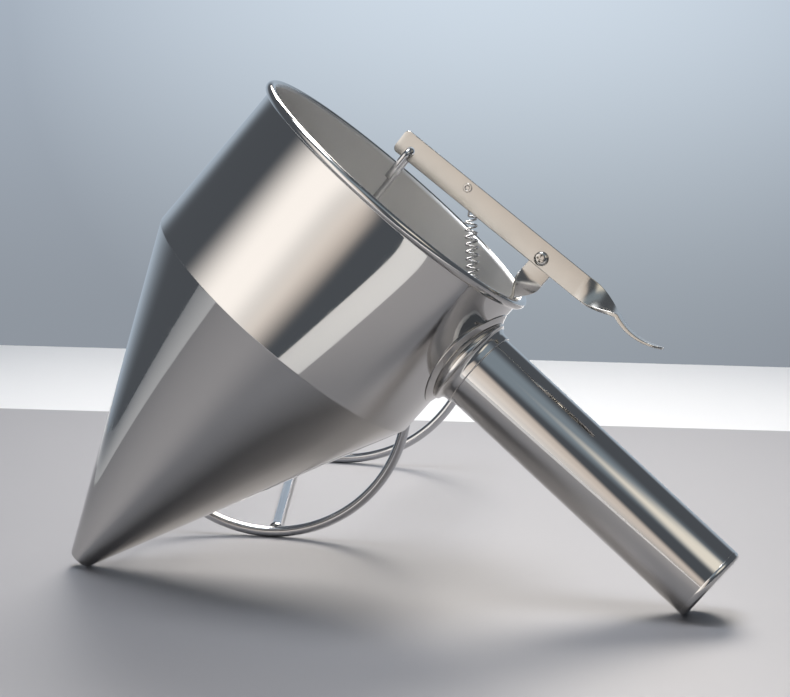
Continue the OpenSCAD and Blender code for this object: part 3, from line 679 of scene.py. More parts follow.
def make_neck():
    """Neck: a foot cut to the saddle plate, a hollow quarter curve and a collar, turned round the
    handle's axis; the lower rows follow x = sqrt(height^2 - (radius sin t)^2). The curve starts
    where it leaves the foot's rounding."""
    s, h = sizes("handle"), sizes("hopper")
    low = h.body_r + s.saddle_t + s.seam
    bottom = wrapped(np.array([[s.bore_r, low], [10 * MM, low], [s.foot_r - 0.5 * MM, low],
                               [s.foot_r, low]]), 224)
    curve = arc([s.foot_r, s.foot_x + s.curve_r], s.curve_r, 270, 180, 17)
    body = np.concatenate([
        [[s.foot_r, s.foot_x - s.foot_edge - 0.02 * MM]],
        arc([s.foot_r - s.foot_edge, s.foot_x - s.foot_edge], s.foot_edge, 0, 80, 9),
        curve[5:],
        [[s.collar_r, s.foot_x + s.curve_r + 0.2 * MM], [s.collar_r, s.tube_x - 0.5 * MM]],
        arc([s.collar_r - s.collar_edge, s.tube_x - s.collar_edge], s.collar_edge, 0, 90, 9),
        [[s.radius - 0.5 * MM, s.tube_x], [s.bore_r, s.tube_x]],
    ])
    grid = place_handle(np.concatenate([bottom, revolved(body, 224)]))
    piece = skin("handle_neck_skin", grid, wrap_rows=True)
    finish(piece, "handle_neck", "hopper", "polished_steel", "mirror_polished_stainless")


def make_tube():
    """Tube: its outer and inner wall turned round the handle's axis"""
    s = sizes("handle")
    inner = s.radius - s.wall
    rows = 13
    along = np.linspace(s.tube_x, s.tube_end, rows)
    profile = np.concatenate([np.stack([np.full(rows, s.radius), along], -1),
                              np.stack([np.full(rows, inner), along[::-1]], -1)])
    inside = np.arange(2 * rows) >= rows - 1
    grid = place_handle(revolved(profile, 224))
    piece = skin("handle_tube_skin", grid, wrap_rows=True, inside=inside, sharp=40)
    finish(piece, "handle_tube", "hopper", "polished_steel",
           "mirror_polished_stainless", "satin_stainless_inside")


def make_cap():
    """End cap: a disc whose outer edge is a quarter arc, with z = end - crown (r / flat_r)^2 over
    its face"""
    s = sizes("handle")
    flat_r = s.radius - s.edge_r
    edge = arc([flat_r, s.end_x - s.edge_r], s.edge_r, 0, 90, 15)
    edge[:, 1] -= s.crown * smooth(0, 1, (edge[:, 1] - edge[0, 1]) / s.edge_r)
    r = np.linspace(flat_r, 0, 12)[1:-1]
    face = np.stack([r, s.end_x - s.crown * (r / flat_r) ** 2], -1)
    profile = np.concatenate([[[NEAR_AXIS, s.tube_end], [s.radius - 0.01 * MM, s.tube_end],
                               [s.radius, s.tube_end + 0.01 * MM],
                               [s.radius, s.end_x - s.edge_r - 0.1 * MM]], edge, face])
    grid = place_handle(revolved(profile, 224))
    piece = skin("handle_end_cap_skin", grid, caps=True, sharp=60)
    finish(piece, "handle_end_cap", "hopper", "polished_steel", "mirror_polished_stainless")


def strip_section(width, thick, edge):
    """Half sizes of a strip's rounded section, for arrays of widths and one thickness or an array
    of them: each corner is an arc whose radius is the edge, but never more than the half width"""
    half = np.maximum(np.atleast_1d(width) / 2, 0.02 * MM)
    thick = np.reshape(thick, (-1, 1))
    r = np.minimum(edge, half * 0.98)[:, None]
    a = np.radians(np.linspace(0, 90, 6))
    ca, sa = np.cos(a), np.sin(a)
    w = half[:, None] - r
    h = thick / 2 - r
    quarter = np.stack([w + r * ca, h + r * sa], -1)
    flip = quarter[:, ::-1]
    return np.concatenate([quarter, flip * [-1, 1], -quarter, flip * [1, -1]], 1)


def make_lever():
    """Lever: a strip's rounded section carried along its middle line. The width points up along
    the bar and turns a quarter over the twist, so that the front face comes to look up. The tab
    follows a cubic Bezier curve that dips and lifts, and thins towards its tip. Both ends are
    rounded, and three round holes are drilled."""
    s = sizes("lever")
    near = s.corner * (1 - np.cos(np.linspace(0, math.pi / 2, 11)))
    bar = s.start + np.concatenate([near, np.linspace(s.corner, s.twist_u - s.start, 60)[1:]])
    twist = s.twist_u + s.twist_len * np.linspace(0, 1, 41)[1:]
    tip = 0.86
    t = np.concatenate([np.linspace(0, tip, 30)[1:],
                        tip + (1 - tip) * np.sin(np.linspace(0, math.pi / 2, 16))[1:]])
    ctrl = np.array([[0, 0], [0.35 * s.tab_len, -1.5 * s.tab_dip],
                     [0.7 * s.tab_len, -s.tab_dip], [s.tab_len, s.tab_lift]])
    weights = np.stack([(1 - t) ** 3, 3 * t * (1 - t) ** 2, 3 * t * t * (1 - t), t ** 3], -1)
    tab = weights @ ctrl
    u = np.concatenate([bar, twist, s.twist_u + s.twist_len + tab[:, 0]])
    v = np.concatenate([np.zeros(len(bar) + len(twist)), tab[:, 1]]) + s.middle_v
    path = np.stack([u, np.full(len(u), s.middle_y), v], -1)
    phi = quarter_turn((u - s.twist_u) / s.twist_len)
    hint = np.stack([0 * u, np.sin(phi), np.cos(phi)], -1)
    end = s.twist_u + s.twist_len + s.tab_len
    width = s.width + narrowed(s.corner, u - s.start) + narrowed(s.width / 3, end - u)
    thick = s.thick * (1 - s.thin * smooth(end - s.tab_len, end, u))
    grid = carried(path, hint, strip_section(width, thick, s.edge))
    piece = skin("trigger_lever_skin", place_lever(grid), caps=True, sharp=50)
    drills = []
    for x, z, r in ((s.hook_u, s.hook_v, s.hook_r), (0, 0, s.pivot_r),
                    (s.pin_u, s.pin_v, s.pin_r + s.pin_gap)):
        hole = revolved(np.array([[r, -s.thick], [r, s.thick]]), 48)
        hole = np.stack([hole[..., 0] + x, s.middle_y - hole[..., 2], hole[..., 1] + z], -1)
        drills.append(skin("drill", place_lever(hole), caps=True))
    cut(piece, *drills)
    finish(piece, "trigger_lever", "lever", "strip_steel", "satin_stainless_strip")


def make_bracket():
    """Bracket: a strip's section carried upwards, a chord of the wall up to the rim. It turns a
    quarter over the twist's height, and its ear ends in a half circle about the pivot."""
    s, l, h = map(sizes, ("bracket", "lever", "hopper"))
    inner = h.body_r - h.sheet - 0.05 * MM
    r = s.width / 2
    x = math.sqrt(inner ** 2 - r ** 2) - s.thick / 2
    z = np.concatenate([np.linspace(-s.foot, 0, 24), np.linspace(0, s.twist, 42)[1:],
                        np.linspace(s.twist, l.pivot_z, 16)[1:],
                        l.pivot_z + r * np.sin(np.linspace(0, math.pi / 2, 26))[1:]])
    path = np.stack([np.full(len(z), x), 0 * z, z], -1)
    phi = quarter_turn(z / s.twist)
    hint = np.stack([np.sin(phi), np.cos(phi), 0 * z], -1)
    up = np.clip(z - l.pivot_z, 0, r)
    width = 2 * np.sqrt(r ** 2 - up ** 2) + narrowed(s.corner, z + s.foot)
    grid = carried(path, hint, strip_section(width, s.thick, s.edge))
    piece = skin("fulcrum_bracket_skin", place_hopper(grid), caps=True, sharp=50)
    finish(piece, "fulcrum_bracket", "hopper", "strip_steel", "satin_stainless_strip")


def make_screw():
    """Pivot screw: a pan head z = h sqrt(1 - (r / R)^5) with a cross recess, and a shank whose
    end carries a thread: r = screw_r - depth |2 frac(z / pitch + t / 2pi) - 1|"""
    s, l = sizes("bracket"), sizes("lever")
    head = -(l.middle_y - l.thick / 2 - 0.1 * MM)
    r = s.pan_r * np.sin(np.linspace(0, math.pi / 2, 24))[:0:-1]
    dome = np.stack([r, head + s.pan_h * np.sqrt(np.clip(1 - (r / s.pan_r) ** 5, 0, 1))], -1)
    tip = -(s.thick / 2 + s.nut_t + s.thread_out)
    cols = 64
    z = np.concatenate([[tip], np.linspace(tip + 0.05 * MM, -s.thick / 2, 110)])[:, None]
    tooth = np.abs(2 * ((z / s.pitch + around(cols) / (2 * math.pi)) % 1) - 1)
    shank_r = s.screw_r - s.thread * tooth - 0.25 * MM * smooth(0.4 * MM, 0, z - tip)
    smooth_part = revolved(np.array([[s.screw_r, -s.thick / 2 + 0.05 * MM],
                                     [s.screw_r, head - 0.02 * MM], [s.screw_r, head],
                                     [s.pan_r - 0.05 * MM, head]]), cols)
    grid = place_screw(np.concatenate([turned_about(shank_r, z, cols), smooth_part,
                                       revolved(dome, cols)]))
    piece = skin("pivot_screw_skin", grid, caps=True, sharp=38)
    slots = []
    arm = np.array([[-1, -1], [1, -1], [1, 1], [-1, 1]]) * [0.54 * s.pan_r, 0.14 * s.pan_r]
    for degrees in (20, 110):
        c, k = math.cos(math.radians(degrees)), math.sin(math.radians(degrees))
        ring = arm @ np.array([[c, k], [-k, c]])
        tool = np.stack([np.column_stack([ring * scale, np.full(4, height)]) for scale, height in
                         ((0.6, head + 0.8 * MM), (1.1, head + s.pan_h + 0.3 * MM))])
        slots.append(skin("slot", place_screw(tool), caps=True))
    cut(piece, *slots)
    finish(piece, "pivot_screw", "hopper", "strip_steel", "turned_nickelled_steel")


def make_nut():
    """Nut: r = w / (2 cos((t mod 60) - 30)) with both ends cut by a 30 degree cone, and rows that
    lie closer there"""
    s = sizes("bracket")
    cols, mouth = 96, 0.35 * MM
    hexagon = s.nut_w / 2 / np.cos((around(cols) + math.pi / 6) % (math.pi / 3) - math.pi / 6)
    z = np.concatenate([np.linspace(0, 0.5, 9), np.linspace(0.5, 1.9, 3)[1:],
                        np.linspace(1.9, 2.4, 9)[1:]])[:, None] / 2.4 * s.nut_t
    lift = np.minimum(z, s.nut_t - z)
    r = np.minimum(hexagon, s.nut_w / 2 * 0.98 + lift / math.tan(math.radians(30)))
    bore = revolved(np.array([[s.nut_mouth, s.nut_t], [s.nut_bore, s.nut_t - mouth],
                              [s.nut_bore, mouth], [s.nut_mouth, 0]]), cols)
    grid = np.concatenate([turned_about(r, z, cols), bore])
    grid[..., 2] -= s.thick / 2 + s.nut_t
    piece = skin("pivot_nut_skin", place_screw(grid), wrap_rows=True, sharp=28)
    finish(piece, "pivot_nut", "hopper", "strip_steel", "turned_nickelled_steel")


def make_pin():
    """Spring pin: a shank through the lever, a flat head behind the spring's loop and, in front,
    a head with a rounded rim about a shallow dimple, as a riveting tool leaves it"""
    s, w = sizes("lever"), sizes("spring")
    face = -(s.middle_y - s.thick / 2)
    end = -(w.wire_y + w.wire_r + 0.1 * MM)
    back, front, dimple = end - 0.4 * MM, face + 0.5 * MM, face + 0.2 * MM
    outline = rounded([[NEAR_AXIS, back], [s.pin_head, back], [s.pin_head, end], [s.pin_r, end],
                       [s.pin_r, face], [s.pin_head, face], [s.pin_head, front],
                       [1.05 * MM, front], [0.75 * MM, dimple], [NEAR_AXIS, dimple]],
                      [0, 0.15 * MM, 0.1 * MM, 0, 0, 0.1 * MM, 0.25 * MM, 0.2 * MM, 0.15 * MM,
                       0])
    grid = revolved(outline[1:-1], 64)
    grid = np.stack([grid[..., 0] + s.pin_u, -grid[..., 2], grid[..., 1] + s.pin_v], -1)
    piece = skin("spring_pin_skin", place_lever(grid), caps=True, sharp=40)
    finish(piece, "spring_pin", "lever", "strip_steel", "turned_nickelled_steel")


def make_spring():
    """Return spring: a loop round the pin, a straight wire, the coil p + n l t + r (cos a, sin a),
    another straight wire and a half turn under the handle's screw, as one round wire"""
    s, l, h = map(sizes, ("spring", "lever", "handle"))
    pin = lever_point(np.array([l.pin_u, l.middle_y, l.pin_v]))
    foot = np.array([s.foot_x, 0, s.foot_z])
    line = (foot - pin) * [1, 0, 1]
    long = np.linalg.norm(line)
    down = line / long
    side = np.array([-down[2], 0, down[0]])
    front = np.array([0, -1.0, 0])

    def flat(p, y):
        """p at y beside the hopper's axis"""
        return p * [1, 0, 1] + [0, y, 0]

    lead = math.asin(s.loop_r / s.top)
    a = (np.radians(np.linspace(-270, 0, 46)) + math.pi / 2 + lead)[:, None]
    loop = flat(pin, s.wire_y) + s.loop_r * (-np.cos(a) * down + np.sin(a) * side)
    coil_len = long - s.top - s.foot
    start = flat(pin + down * s.top, s.coil_y)
    whole, per_turn = 2 * math.pi * (s.turns + 0.5), 36
    a = np.linspace(0, whole, per_turn * s.turns + per_turn // 2 + 1)[:, None]
    coil = (start + down * coil_len * a / whole
            + s.coil_r * (np.cos(a) * front + np.sin(a) * side))
    leave = (loop[-1] - loop[-2]) / np.linalg.norm(loop[-1] - loop[-2])
    lead_in, lead_out, pull = 2.4 * MM, 1.6 * MM, 2.6 * MM
    before = flat(pin + down * (s.top - lead_in), s.wire_y)
    after = flat(pin + down * (s.top + coil_len + lead_out), s.foot_y)
    top_wire = loop[-1] + (before - loop[-1]) * np.linspace(0, 1, 14)[1:-1, None]
    bend_in = curved(before, leave * pull, coil[0], side * pull, 12)[:-1]
    bend_out = curved(coil[-1], side * -2.2 * MM, after, down * 2.0 * MM, 12)[1:]
    t = np.radians(np.linspace(0, -180, 31))[:, None]
    wrap = np.array([s.foot_x, 0, -h.drop]) + s.foot_y * np.concatenate(
        [0 * t, np.cos(t), np.sin(t)], 1)
    foot_wire = after + (flat(foot, s.foot_y) - after) * np.linspace(0, 1, 8)[1:, None]
    drop = foot_wire[-1] + (wrap[0] - foot_wire[-1]) * np.linspace(0, 1, 6)[1:-1, None]
    tail = wrap[-1] + np.array([[0, 0, 0.4], [0, 0, 0.8]]) * MM
    path = np.concatenate([loop, top_wire, bend_in, coil, bend_out, foot_wire, drop, wrap, tail])
    mix = np.zeros(len(path))
    first = len(loop) + len(top_wire) + len(bend_in)
    mix[first:first + len(coil)] = np.minimum(1, np.minimum(np.arange(len(coil)),
                                                            np.arange(len(coil))[::-1]) / 6)
    wrapping = np.zeros(len(path))
    wrapping[-len(wrap) - len(tail) - len(drop):] = smooth(
        0, len(drop), np.arange(len(wrap) + len(tail) + len(drop)).astype(float))
    hint = ((1 - mix - wrapping)[:, None] * -front + mix[:, None] * down
            + wrapping[:, None] * np.array([1.0, 0, 0]))
    grid = carried(path, hint, circle(s.wire_r, 12))
    piece = skin("return_spring_coil", place_hopper(grid), caps=True, sharp=50)
    finish(piece, "return_spring", None, "spring_steel", "drawn_spring_wire")
    fixed = np.array([s.foot_x, 0, -h.drop])
    ends = place_hopper(np.stack([fixed, flat(pin, l.middle_y)]))
    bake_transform(piece)


def make_plunger():
    """Rod: a round section carried down the tail, over the hook's two quarter bends and down the
    long leg. Plug: an outline turned round the hopper's axis, with its edges rounded."""
    s, h = sizes("plunger"), sizes("hopper")
    _, long, _ = rod_frame()
    back = s.half + s.bend_r
    a = np.linspace(0, math.pi / 2, 14)[:, None]
    zero = 0 * a
    rise = np.concatenate([zero, -s.half - s.bend_r * np.cos(a), s.bend_r * (np.sin(a) - 1)], 1)
    fall = rise[::-1] * [1, -1, 1]
    tail = np.linspace([0, -back, -s.bend_r - s.tail], [0, -back, -s.bend_r], 14)[:-1]
    grip = np.linspace([0, -s.half, 0], [0, s.half, 0], 6)[1:-1]
    leg = np.linspace([0, back, -s.bend_r], [0, back, -long], 30)[1:]
    path = np.concatenate([tail, rise, grip, fall, leg])
    hint = np.tile([1.0, 0, 0], (len(path), 1))
    radius = np.full(len(path), s.rod_r)
    radius[0] *= 0.9
    path[1] = path[0] + [0, 0, 0.12 * MM]
    section = circle(1.0, 28)[None] * radius[:, None, None]
    piece = skin("plunger_rod_wire", place_rod(carried(path, hint, section)), caps=True,
                 sharp=50)
    finish(piece, "plunger_rod", "plunger", "wire_steel", "electropolished_wire")
    seat = -h.band_h - h.cone_h + h.outlet_len
    cone_half = math.atan((h.body_r - h.outlet_r - 2 * h.lip_r) / h.cone_h)
    inner = h.body_r - h.sheet / math.cos(cone_half)
    slope = (inner - h.outlet_r) / (h.cone_h - h.outlet_len)
    nose = h.outlet_r - s.gap
    wide = nose + slope * s.plug_len
    top = seat + s.plug_len + s.shoulder
    outline = rounded([[NEAR_AXIS, seat - s.nose], [nose - 0.4 * MM, seat - s.nose],
                       [nose, seat - s.nose + 0.4 * MM], [nose, seat],
                       [wide, seat + s.plug_len], [2 * s.rod_r, top], [NEAR_AXIS, top]],
                      [0, 0.1 * MM, 0.1 * MM, 0.3 * MM, 0.4 * MM, 0.3 * MM, 0])
    piece = skin("plunger_plug_turned", place_hopper(revolved(outline[1:-1], 96)), caps=True,
                 sharp=50)
    finish(piece, "plunger_plug", "plunger", "strip_steel", "turned_nickelled_steel")


def make_stand():
    """Rings: a wire circle turned round the stand's axis. Legs: a round section carried from ring
    to ring, whose radius swells by weld e^(-(d / 2 mm)^2) at the distance d from a ring's wire,
    on the side towards the stand's axis"""
    s = sizes("stand")
    for node, r, z in (("stand_top_ring", s.top_r, 0), ("stand_base_ring", s.base_r, -s.height)):
        ring = circle(s.wire_r, 24) + [r, z]
        piece = skin(f"{node}_wire", place_stand(revolved(ring, 192)), wrap_rows=True)
        finish(piece, node, "stand", "wire_steel", "electropolished_wire")
    for k in range(3):
        a = s.leg_turn + math.radians(120 * k - 90)
        b = a - s.leg_lean
        top = np.array([s.top_r * math.cos(a), s.top_r * math.sin(a), 0])
        foot = np.array([s.base_r * math.cos(b), s.base_r * math.sin(b), -s.height])
        long = np.linalg.norm(top - foot)
        near = 9 * MM
        d = np.concatenate([np.linspace(0, near, 19), np.linspace(near, long - near, 12)[1:-1],
                            np.linspace(long - near, long, 19)])
        path = foot + (top - foot) * (d / long)[:, None]
        off = np.minimum(d, long - d) - s.wire_r
        swell = s.wire_r + s.weld * np.exp(-(np.maximum(off, 0) / (2 * MM)) ** 2)
        swell = np.where(off < 0, s.wire_r * 0.8, swell)
        inward = -path * [1, 1, 0] / np.linalg.norm(path[:, :2], axis=1, keepdims=True)
        path = path + inward * np.maximum(swell - s.wire_r, 0)[:, None]
        hint = np.tile([0.0, 0, 1], (len(path), 1)) + [0.3, 0.2, 0]
        grid = carried(path, hint, circle(1.0, 24)[None] * swell[:, None, None])
        piece = skin(f"stand_leg_{k + 1}_wire", place_stand(grid), caps=True)
        finish(piece, f"stand_leg_{k + 1}", "stand", "wire_steel", "electropolished_wire")


def finish_kept():
    """The CAD's own screw inside the handle and washer at the pivot, with a turned finish"""
    for node in ("handle_screw", "pivot_washer"):
        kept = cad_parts[node]
        kept.data.materials.clear()
        kept.data.materials.append(steel("turned_nickelled_steel"))


# ---------------------------------------------------------------------------------------------
# The stage

# Reflector cards: sides in degrees across and up, distance, degrees over which the left, right,
# low and high side fade, colour, strength, and the middle of the card's sphere
OBJECT_MIDDLE = (-0.0156, -0.11, 0.1)
HANDLE_END = (0.138, -0.105, 0.012)
CARDS = {
    "card_left_softbox": ((-168, -86), (-30, 50), 1.6, (40, 34, 8, 14), "#f3eeea", 1.74,
                          OBJECT_MIDDLE),
    "card_front_strip": ((-112, -80), (-14, 34), 1.9, (14, 9, 16, 10), "#f0e4da", 0.98,
                         OBJECT_MIDDLE),
    "card_handle_end": ((-72, 0), (28, 62), 0.45, (22, 26, 14, 12), "#efe9dd", 1.35, HANDLE_END),
    "card_top": ((-180, 180), (66, 90), 1.5, (0, 0, 8, 0), "#dfe6ee", 1.0, OBJECT_MIDDLE),
    "card_slate": ((-130, 20), (28, 66), 2.2, (25, 50, 14, 8), "#8a97a2", 1.15, OBJECT_MIDDLE),
    "card_backdrop": ((55, 164), (-14, 24), 2.4, (8, 40, 3, 14), "#a9b6c4", 1.1, OBJECT_MIDDLE),
}
# Square lamps: place, aim, width, the power's setting, colour and the beam's spread in degrees,
# and whether reflections see the lamp
LAMPS = {
    "key_lamp": ((-0.1, 0.8, 0.85), (0, -0.05, 0), 0.55, "key_power", "#fff8f0", 80, True),
    "top_lamp": ((-0.05, -0.05, 1.3), (0, -0.1, 0), 0.5, "top_power", "#f6f9ff", 180, True),
    "front_lamp": ((0.15, -0.45, 0.7), (0.15, -0.4, 0), 0.3, "front_power", "#fff6ea", 45,
                   False),
}


def stage_mesh(name, points, faces, material):
    """A mesh of the stage, from arrays of points and faces"""
    mesh = bpy.data.meshes.new(name)
    mesh.from_pydata(points.reshape(-1, 3).tolist(), [], faces.tolist())
    mesh.materials.append(material)
    return mesh


def laid_out(x, y, z, place):
    """The matrix that lays an object's X, Y and Z along x, y and z, at place"""
    return Matrix([*zip(x, y, z, place), (0, 0, 0, 1)])


def plain_surface(name, base, rough):
    """A plain matt surface for the floor"""
    material, tree = new_material(name)
    shader = put(tree, "ShaderNodeBsdfPrincipled", {
        "Base Color": tuple(base), "Roughness": rough})
    put(tree, "ShaderNodeOutputMaterial", {"Surface": shader.outputs["BSDF"]})
    return material


def flat_sheet(name, low, high, z, angle, material):
    """A level rectangle between two corners, turned about Z by the angle"""
    c, k = math.cos(angle), math.sin(angle)
    ring = np.array([low, (high[0], low[1]), high, (low[0], high[1])]) @ [[c, k], [-k, c]]
    points = np.column_stack([ring, np.full(4, z)])
    sheet = linked(name, stage_mesh(name, points, np.arange(4)[None], material))


def card_glow(name, code, strength):
    """Light that follows the mesh's glow attribute, and is clear where that is 0"""
    material, tree = new_material(name)
    shape = put(tree, "ShaderNodeAttribute", attribute_name="glow")
    light = put(tree, "ShaderNodeEmission", {"Color": linear(code), "Strength": strength})
    clear = put(tree, "ShaderNodeBsdfTransparent")
    both = put(tree, "ShaderNodeMixShader", {
        0: shape.outputs["Fac"], 1: clear.outputs[0], 2: light.outputs[0]})
    put(tree, "ShaderNodeOutputMaterial", {"Surface": both.outputs[0]})
    return material


def studio_card(name, az, el, distance, soft, code, strength, middle):
    """A reflector card that only reflections see: a patch of a sphere, whose glow is the product
    of four smooth steps in from its sides"""
    rows, cols, least = 31, 61, 0.01
    a = np.linspace(*az, cols)[None, :]
    e = np.linspace(*el, rows)[:, None]
    ra, re = np.radians(a), np.radians(e)
    points = distance * np.stack([np.cos(re) * np.cos(ra), np.cos(re) * np.sin(ra),
                                  np.sin(re) + 0 * ra], -1) + np.array(middle)
    left, right, low, high = np.array(soft) + least
    glow = (smooth(az[0], az[0] + left, a) * smooth(az[1], az[1] - right, a)
            * smooth(el[0], el[0] + low, e) * smooth(el[1], el[1] - high, e))
    index = np.arange(rows * cols).reshape(rows, cols)
    quads = np.stack([index[:-1, :-1], index[:-1, 1:], index[1:, 1:], index[1:, :-1]], -1)
    mesh = stage_mesh(name, points, quads.reshape(-1, 4), card_glow(name, code, strength))
    layer = mesh.attributes.new("glow", "FLOAT", "POINT")
    layer.data.foreach_set("value", glow.ravel().astype(np.float32))
    card = linked(name, mesh)
    card.visible_camera = card.visible_diffuse = False
    card.visible_shadow = card.visible_transmission = False


def soft_lamp(name, place, aim, wide, power, tint, spread, mirrored):
    """A square area lamp at place that looks at aim"""
    data = bpy.data.lights.new(name, "AREA")
    data.size = wide
    data.energy = getattr(bpy.context.scene.stage_settings, power)
    data.color = linear(tint)[:3]
    data.spread = math.radians(spread)
    z = np.array(place) - np.array(aim)
    z /= np.linalg.norm(z)
    x = np.cross([0, 1.0, 0.01], z)
    x /= np.linalg.norm(x)
    lamp = linked(name, data)
    lamp.matrix_world = laid_out(x, np.cross(z, x), z, place)
    lamp.visible_glossy = mirrored


def make_world():
    """A plain blue-grey backdrop for the camera, with painted light and shade: lighter in the
    middle of the picture, darker below the horizon and away from the middle, and a dim room for
    everything else"""
    world = bpy.data.worlds.new("studio")
    bpy.context.scene.world = world
    world.use_nodes = True
    tree = world.node_tree
    tree.nodes.clear()
    way = put(tree, "ShaderNodeTexCoord").outputs["Generated"]
    parts = put(tree, "ShaderNodeSeparateXYZ", {"Vector": way})
    high = put(tree, "ShaderNodeMapRange", {
        "Value": parts.outputs["Z"], "From Min": -0.145, "From Max": 0.02},
        interpolation_type="SMOOTHSTEP")
    across = put(tree, "ShaderNodeVectorMath", {0: way, 1: (-0.206, 0.978, 0)},
                 operation="DOT_PRODUCT")
    middle = put(tree, "ShaderNodeMapRange", {
        "Value": across.outputs["Value"], "From Min": 0.983, "From Max": 1.0, "To Min": 0.0,
        "To Max": 1.0})
    # Painted shade and painted light: the backdrop's edge colours are darker than its lit middle
    edge, centre = (put(tree, "ShaderNodeMix", {
        "Factor": high.outputs["Result"], "A": linear(low), "B": linear(top)}, data_type="RGBA")
        for low, top in (("#8f969f", "#a9b4c1"), ("#a1aab2", "#d2deea")))
    wall = put(tree, "ShaderNodeMix", {
        "Factor": middle.outputs["Result"], "A": edge.outputs["Result"],
        "B": centre.outputs["Result"]}, data_type="RGBA")
    seen = put(tree, "ShaderNodeBackground", {"Color": wall.outputs["Result"], "Strength": 1.0})
    room = put(tree, "ShaderNodeBackground", {"Color": linear("#5a5f66"), "Strength": 1.0})
    ray = put(tree, "ShaderNodeLightPath")
    both = put(tree, "ShaderNodeMixShader", {
        0: ray.outputs["Is Camera Ray"], 1: room.outputs[0], 2: seen.outputs[0]})
    put(tree, "ShaderNodeOutputWorld", {"Surface": both.outputs[0]})


def make_camera():
    """The photograph's camera: 790 by 697 pixels, with a focal length of 2609 pixels"""
    data = bpy.data.cameras.new("camera")
    data.sensor_width = 36
    data.sensor_fit = "HORIZONTAL"
    data.lens = 118.896
    data.clip_start = 0.01
    right, up = (0.9699, 0.2421, 0.0243), (-0.0573, 0.1302, 0.9898)
    back = (0.2365, -0.9615, 0.1402)
    camera = linked("camera", data)
    camera.matrix_world = laid_out(right, up, back, (0.251492, -1.084164, 0.23928))
    bpy.context.scene.camera = camera


def make_stage():
    """Board, table, cards, lamps, backdrop and camera"""
    s = bpy.context.scene.stage_settings
    flat_sheet("floor_board", (-0.464, -0.3055), (0.62, 0.298), 0, s.turned,
               plain_surface("painted_board", s.board, 0.5))
    flat_sheet("floor_table", (-0.9, -0.46), (1.0, 0.569), -0.004, s.turned,
               plain_surface("white_laminate", s.table, 0.45))
    for name, card in CARDS.items():
        studio_card(name, *card)
    for name, lamp in LAMPS.items():
        soft_lamp(name, *lamp)
    make_world()
    make_camera()
    bpy.context.scene.view_settings.view_transform = "Standard"


# ---------------------------------------------------------------------------------------------
# The add-on: an operator for each group of pieces, a panel that lists them, and a main function

class DISPENSER_OT_hopper(bpy.types.Operator):
    """Make the hopper's band with its bead, and its cone"""
    bl_idname = "dispenser.hopper"
    bl_label = "Hopper"

    def execute(self, context):
        make_band()
        make_cone()
        return {"FINISHED"}


class DISPENSER_OT_handle(bpy.types.Operator):
    """Make the handle: saddle plate, neck, tube and end cap"""
    bl_idname = "dispenser.handle"
    bl_label = "Handle"

    def execute(self, context):
        make_saddle()
        make_neck()
        make_tube()
        make_cap()
        return {"FINISHED"}


class DISPENSER_OT_lever(bpy.types.Operator):
    """Make the thumb lever and the spring's pin in it"""
    bl_idname = "dispenser.lever"
    bl_label = "Thumb Lever"

    def execute(self, context):
        make_lever()
        make_pin()
        return {"FINISHED"}


class DISPENSER_OT_bracket(bpy.types.Operator):
    """Make the bracket, the pivot screw and the nut"""
    bl_idname = "dispenser.bracket"
    bl_label = "Bracket And Pivot"

    def execute(self, context):
        make_bracket()
        make_screw()
        make_nut()
        finish_kept()
        return {"FINISHED"}


class DISPENSER_OT_spring(bpy.types.Operator):
    """Make the return spring"""
    bl_idname = "dispenser.spring"
    bl_label = "Return Spring"

    def execute(self, context):
        make_spring()
        return {"FINISHED"}


class DISPENSER_OT_plunger(bpy.types.Operator):
    """Make the plunger's rod and plug"""
    bl_idname = "dispenser.plunger"
    bl_label = "Plunger"

    def execute(self, context):
        make_plunger()
        return {"FINISHED"}


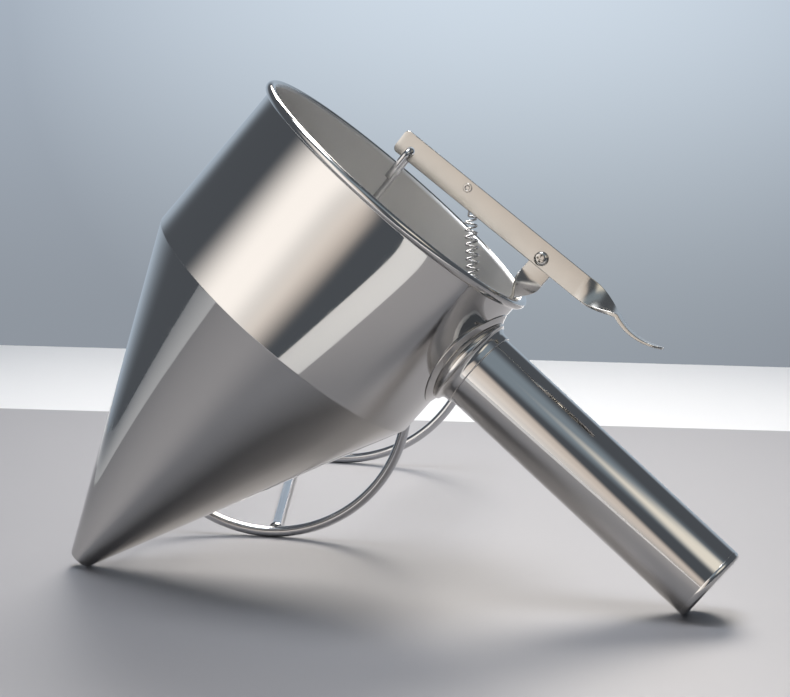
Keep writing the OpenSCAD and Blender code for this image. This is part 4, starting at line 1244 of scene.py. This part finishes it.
class DISPENSER_OT_stand(bpy.types.Operator):
    """Make the wire stand"""
    bl_idname = "dispenser.stand"
    bl_label = "Wire Stand"

    def execute(self, context):
        make_stand()
        return {"FINISHED"}


class DISPENSER_OT_stage(bpy.types.Operator):
    """Make the floor, backdrop, cards, lamps and camera"""
    bl_idname = "dispenser.stage"
    bl_label = "Stage"

    def execute(self, context):
        make_stage()
        return {"FINISHED"}


class DISPENSER_PT_looks(bpy.types.Panel):
    """Lists the dispenser's operators"""
    bl_idname = "DISPENSER_PT_looks"
    bl_label = "Batter Dispenser"
    bl_space_type = "VIEW_3D"
    bl_region_type = "UI"
    bl_category = "Dispenser"

    def draw(self, context):
        for operator in OPERATORS:
            self.layout.operator(operator.bl_idname)


OPERATORS = (DISPENSER_OT_hopper, DISPENSER_OT_handle, DISPENSER_OT_lever,
             DISPENSER_OT_bracket, DISPENSER_OT_spring, DISPENSER_OT_plunger,
             DISPENSER_OT_stand, DISPENSER_OT_stage)
SETTINGS = (("hopper_sizes", HopperSizes), ("handle_sizes", HandleSizes),
            ("lever_sizes", LeverSizes), ("bracket_sizes", BracketSizes),
            ("spring_sizes", SpringSizes), ("plunger_sizes", PlungerSizes),
            ("stand_sizes", StandSizes), ("finishes", Finishes),
            ("stage_settings", StageSettings))


def register():
    for name, group in SETTINGS:
        bpy.utils.register_class(group)
        setattr(bpy.types.Scene, name, PointerProperty(type=group))
    for operator in OPERATORS:
        bpy.utils.register_class(operator)
    bpy.utils.register_class(DISPENSER_PT_looks)


def unregister():
    bpy.utils.unregister_class(DISPENSER_PT_looks)
    for operator in reversed(OPERATORS):
        bpy.utils.unregister_class(operator)
    for name, group in reversed(SETTINGS):
        delattr(bpy.types.Scene, name)
        bpy.utils.unregister_class(group)


def main():
    """Registers the add-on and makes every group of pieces"""
    register()
    bpy.ops.dispenser.hopper()
    bpy.ops.dispenser.handle()
    bpy.ops.dispenser.lever()
    bpy.ops.dispenser.bracket()
    bpy.ops.dispenser.spring()
    bpy.ops.dispenser.plunger()
    bpy.ops.dispenser.stand()
    bpy.ops.dispenser.stage()
    bpy.context.view_layer.update()


if __name__ == "__main__":
    main()
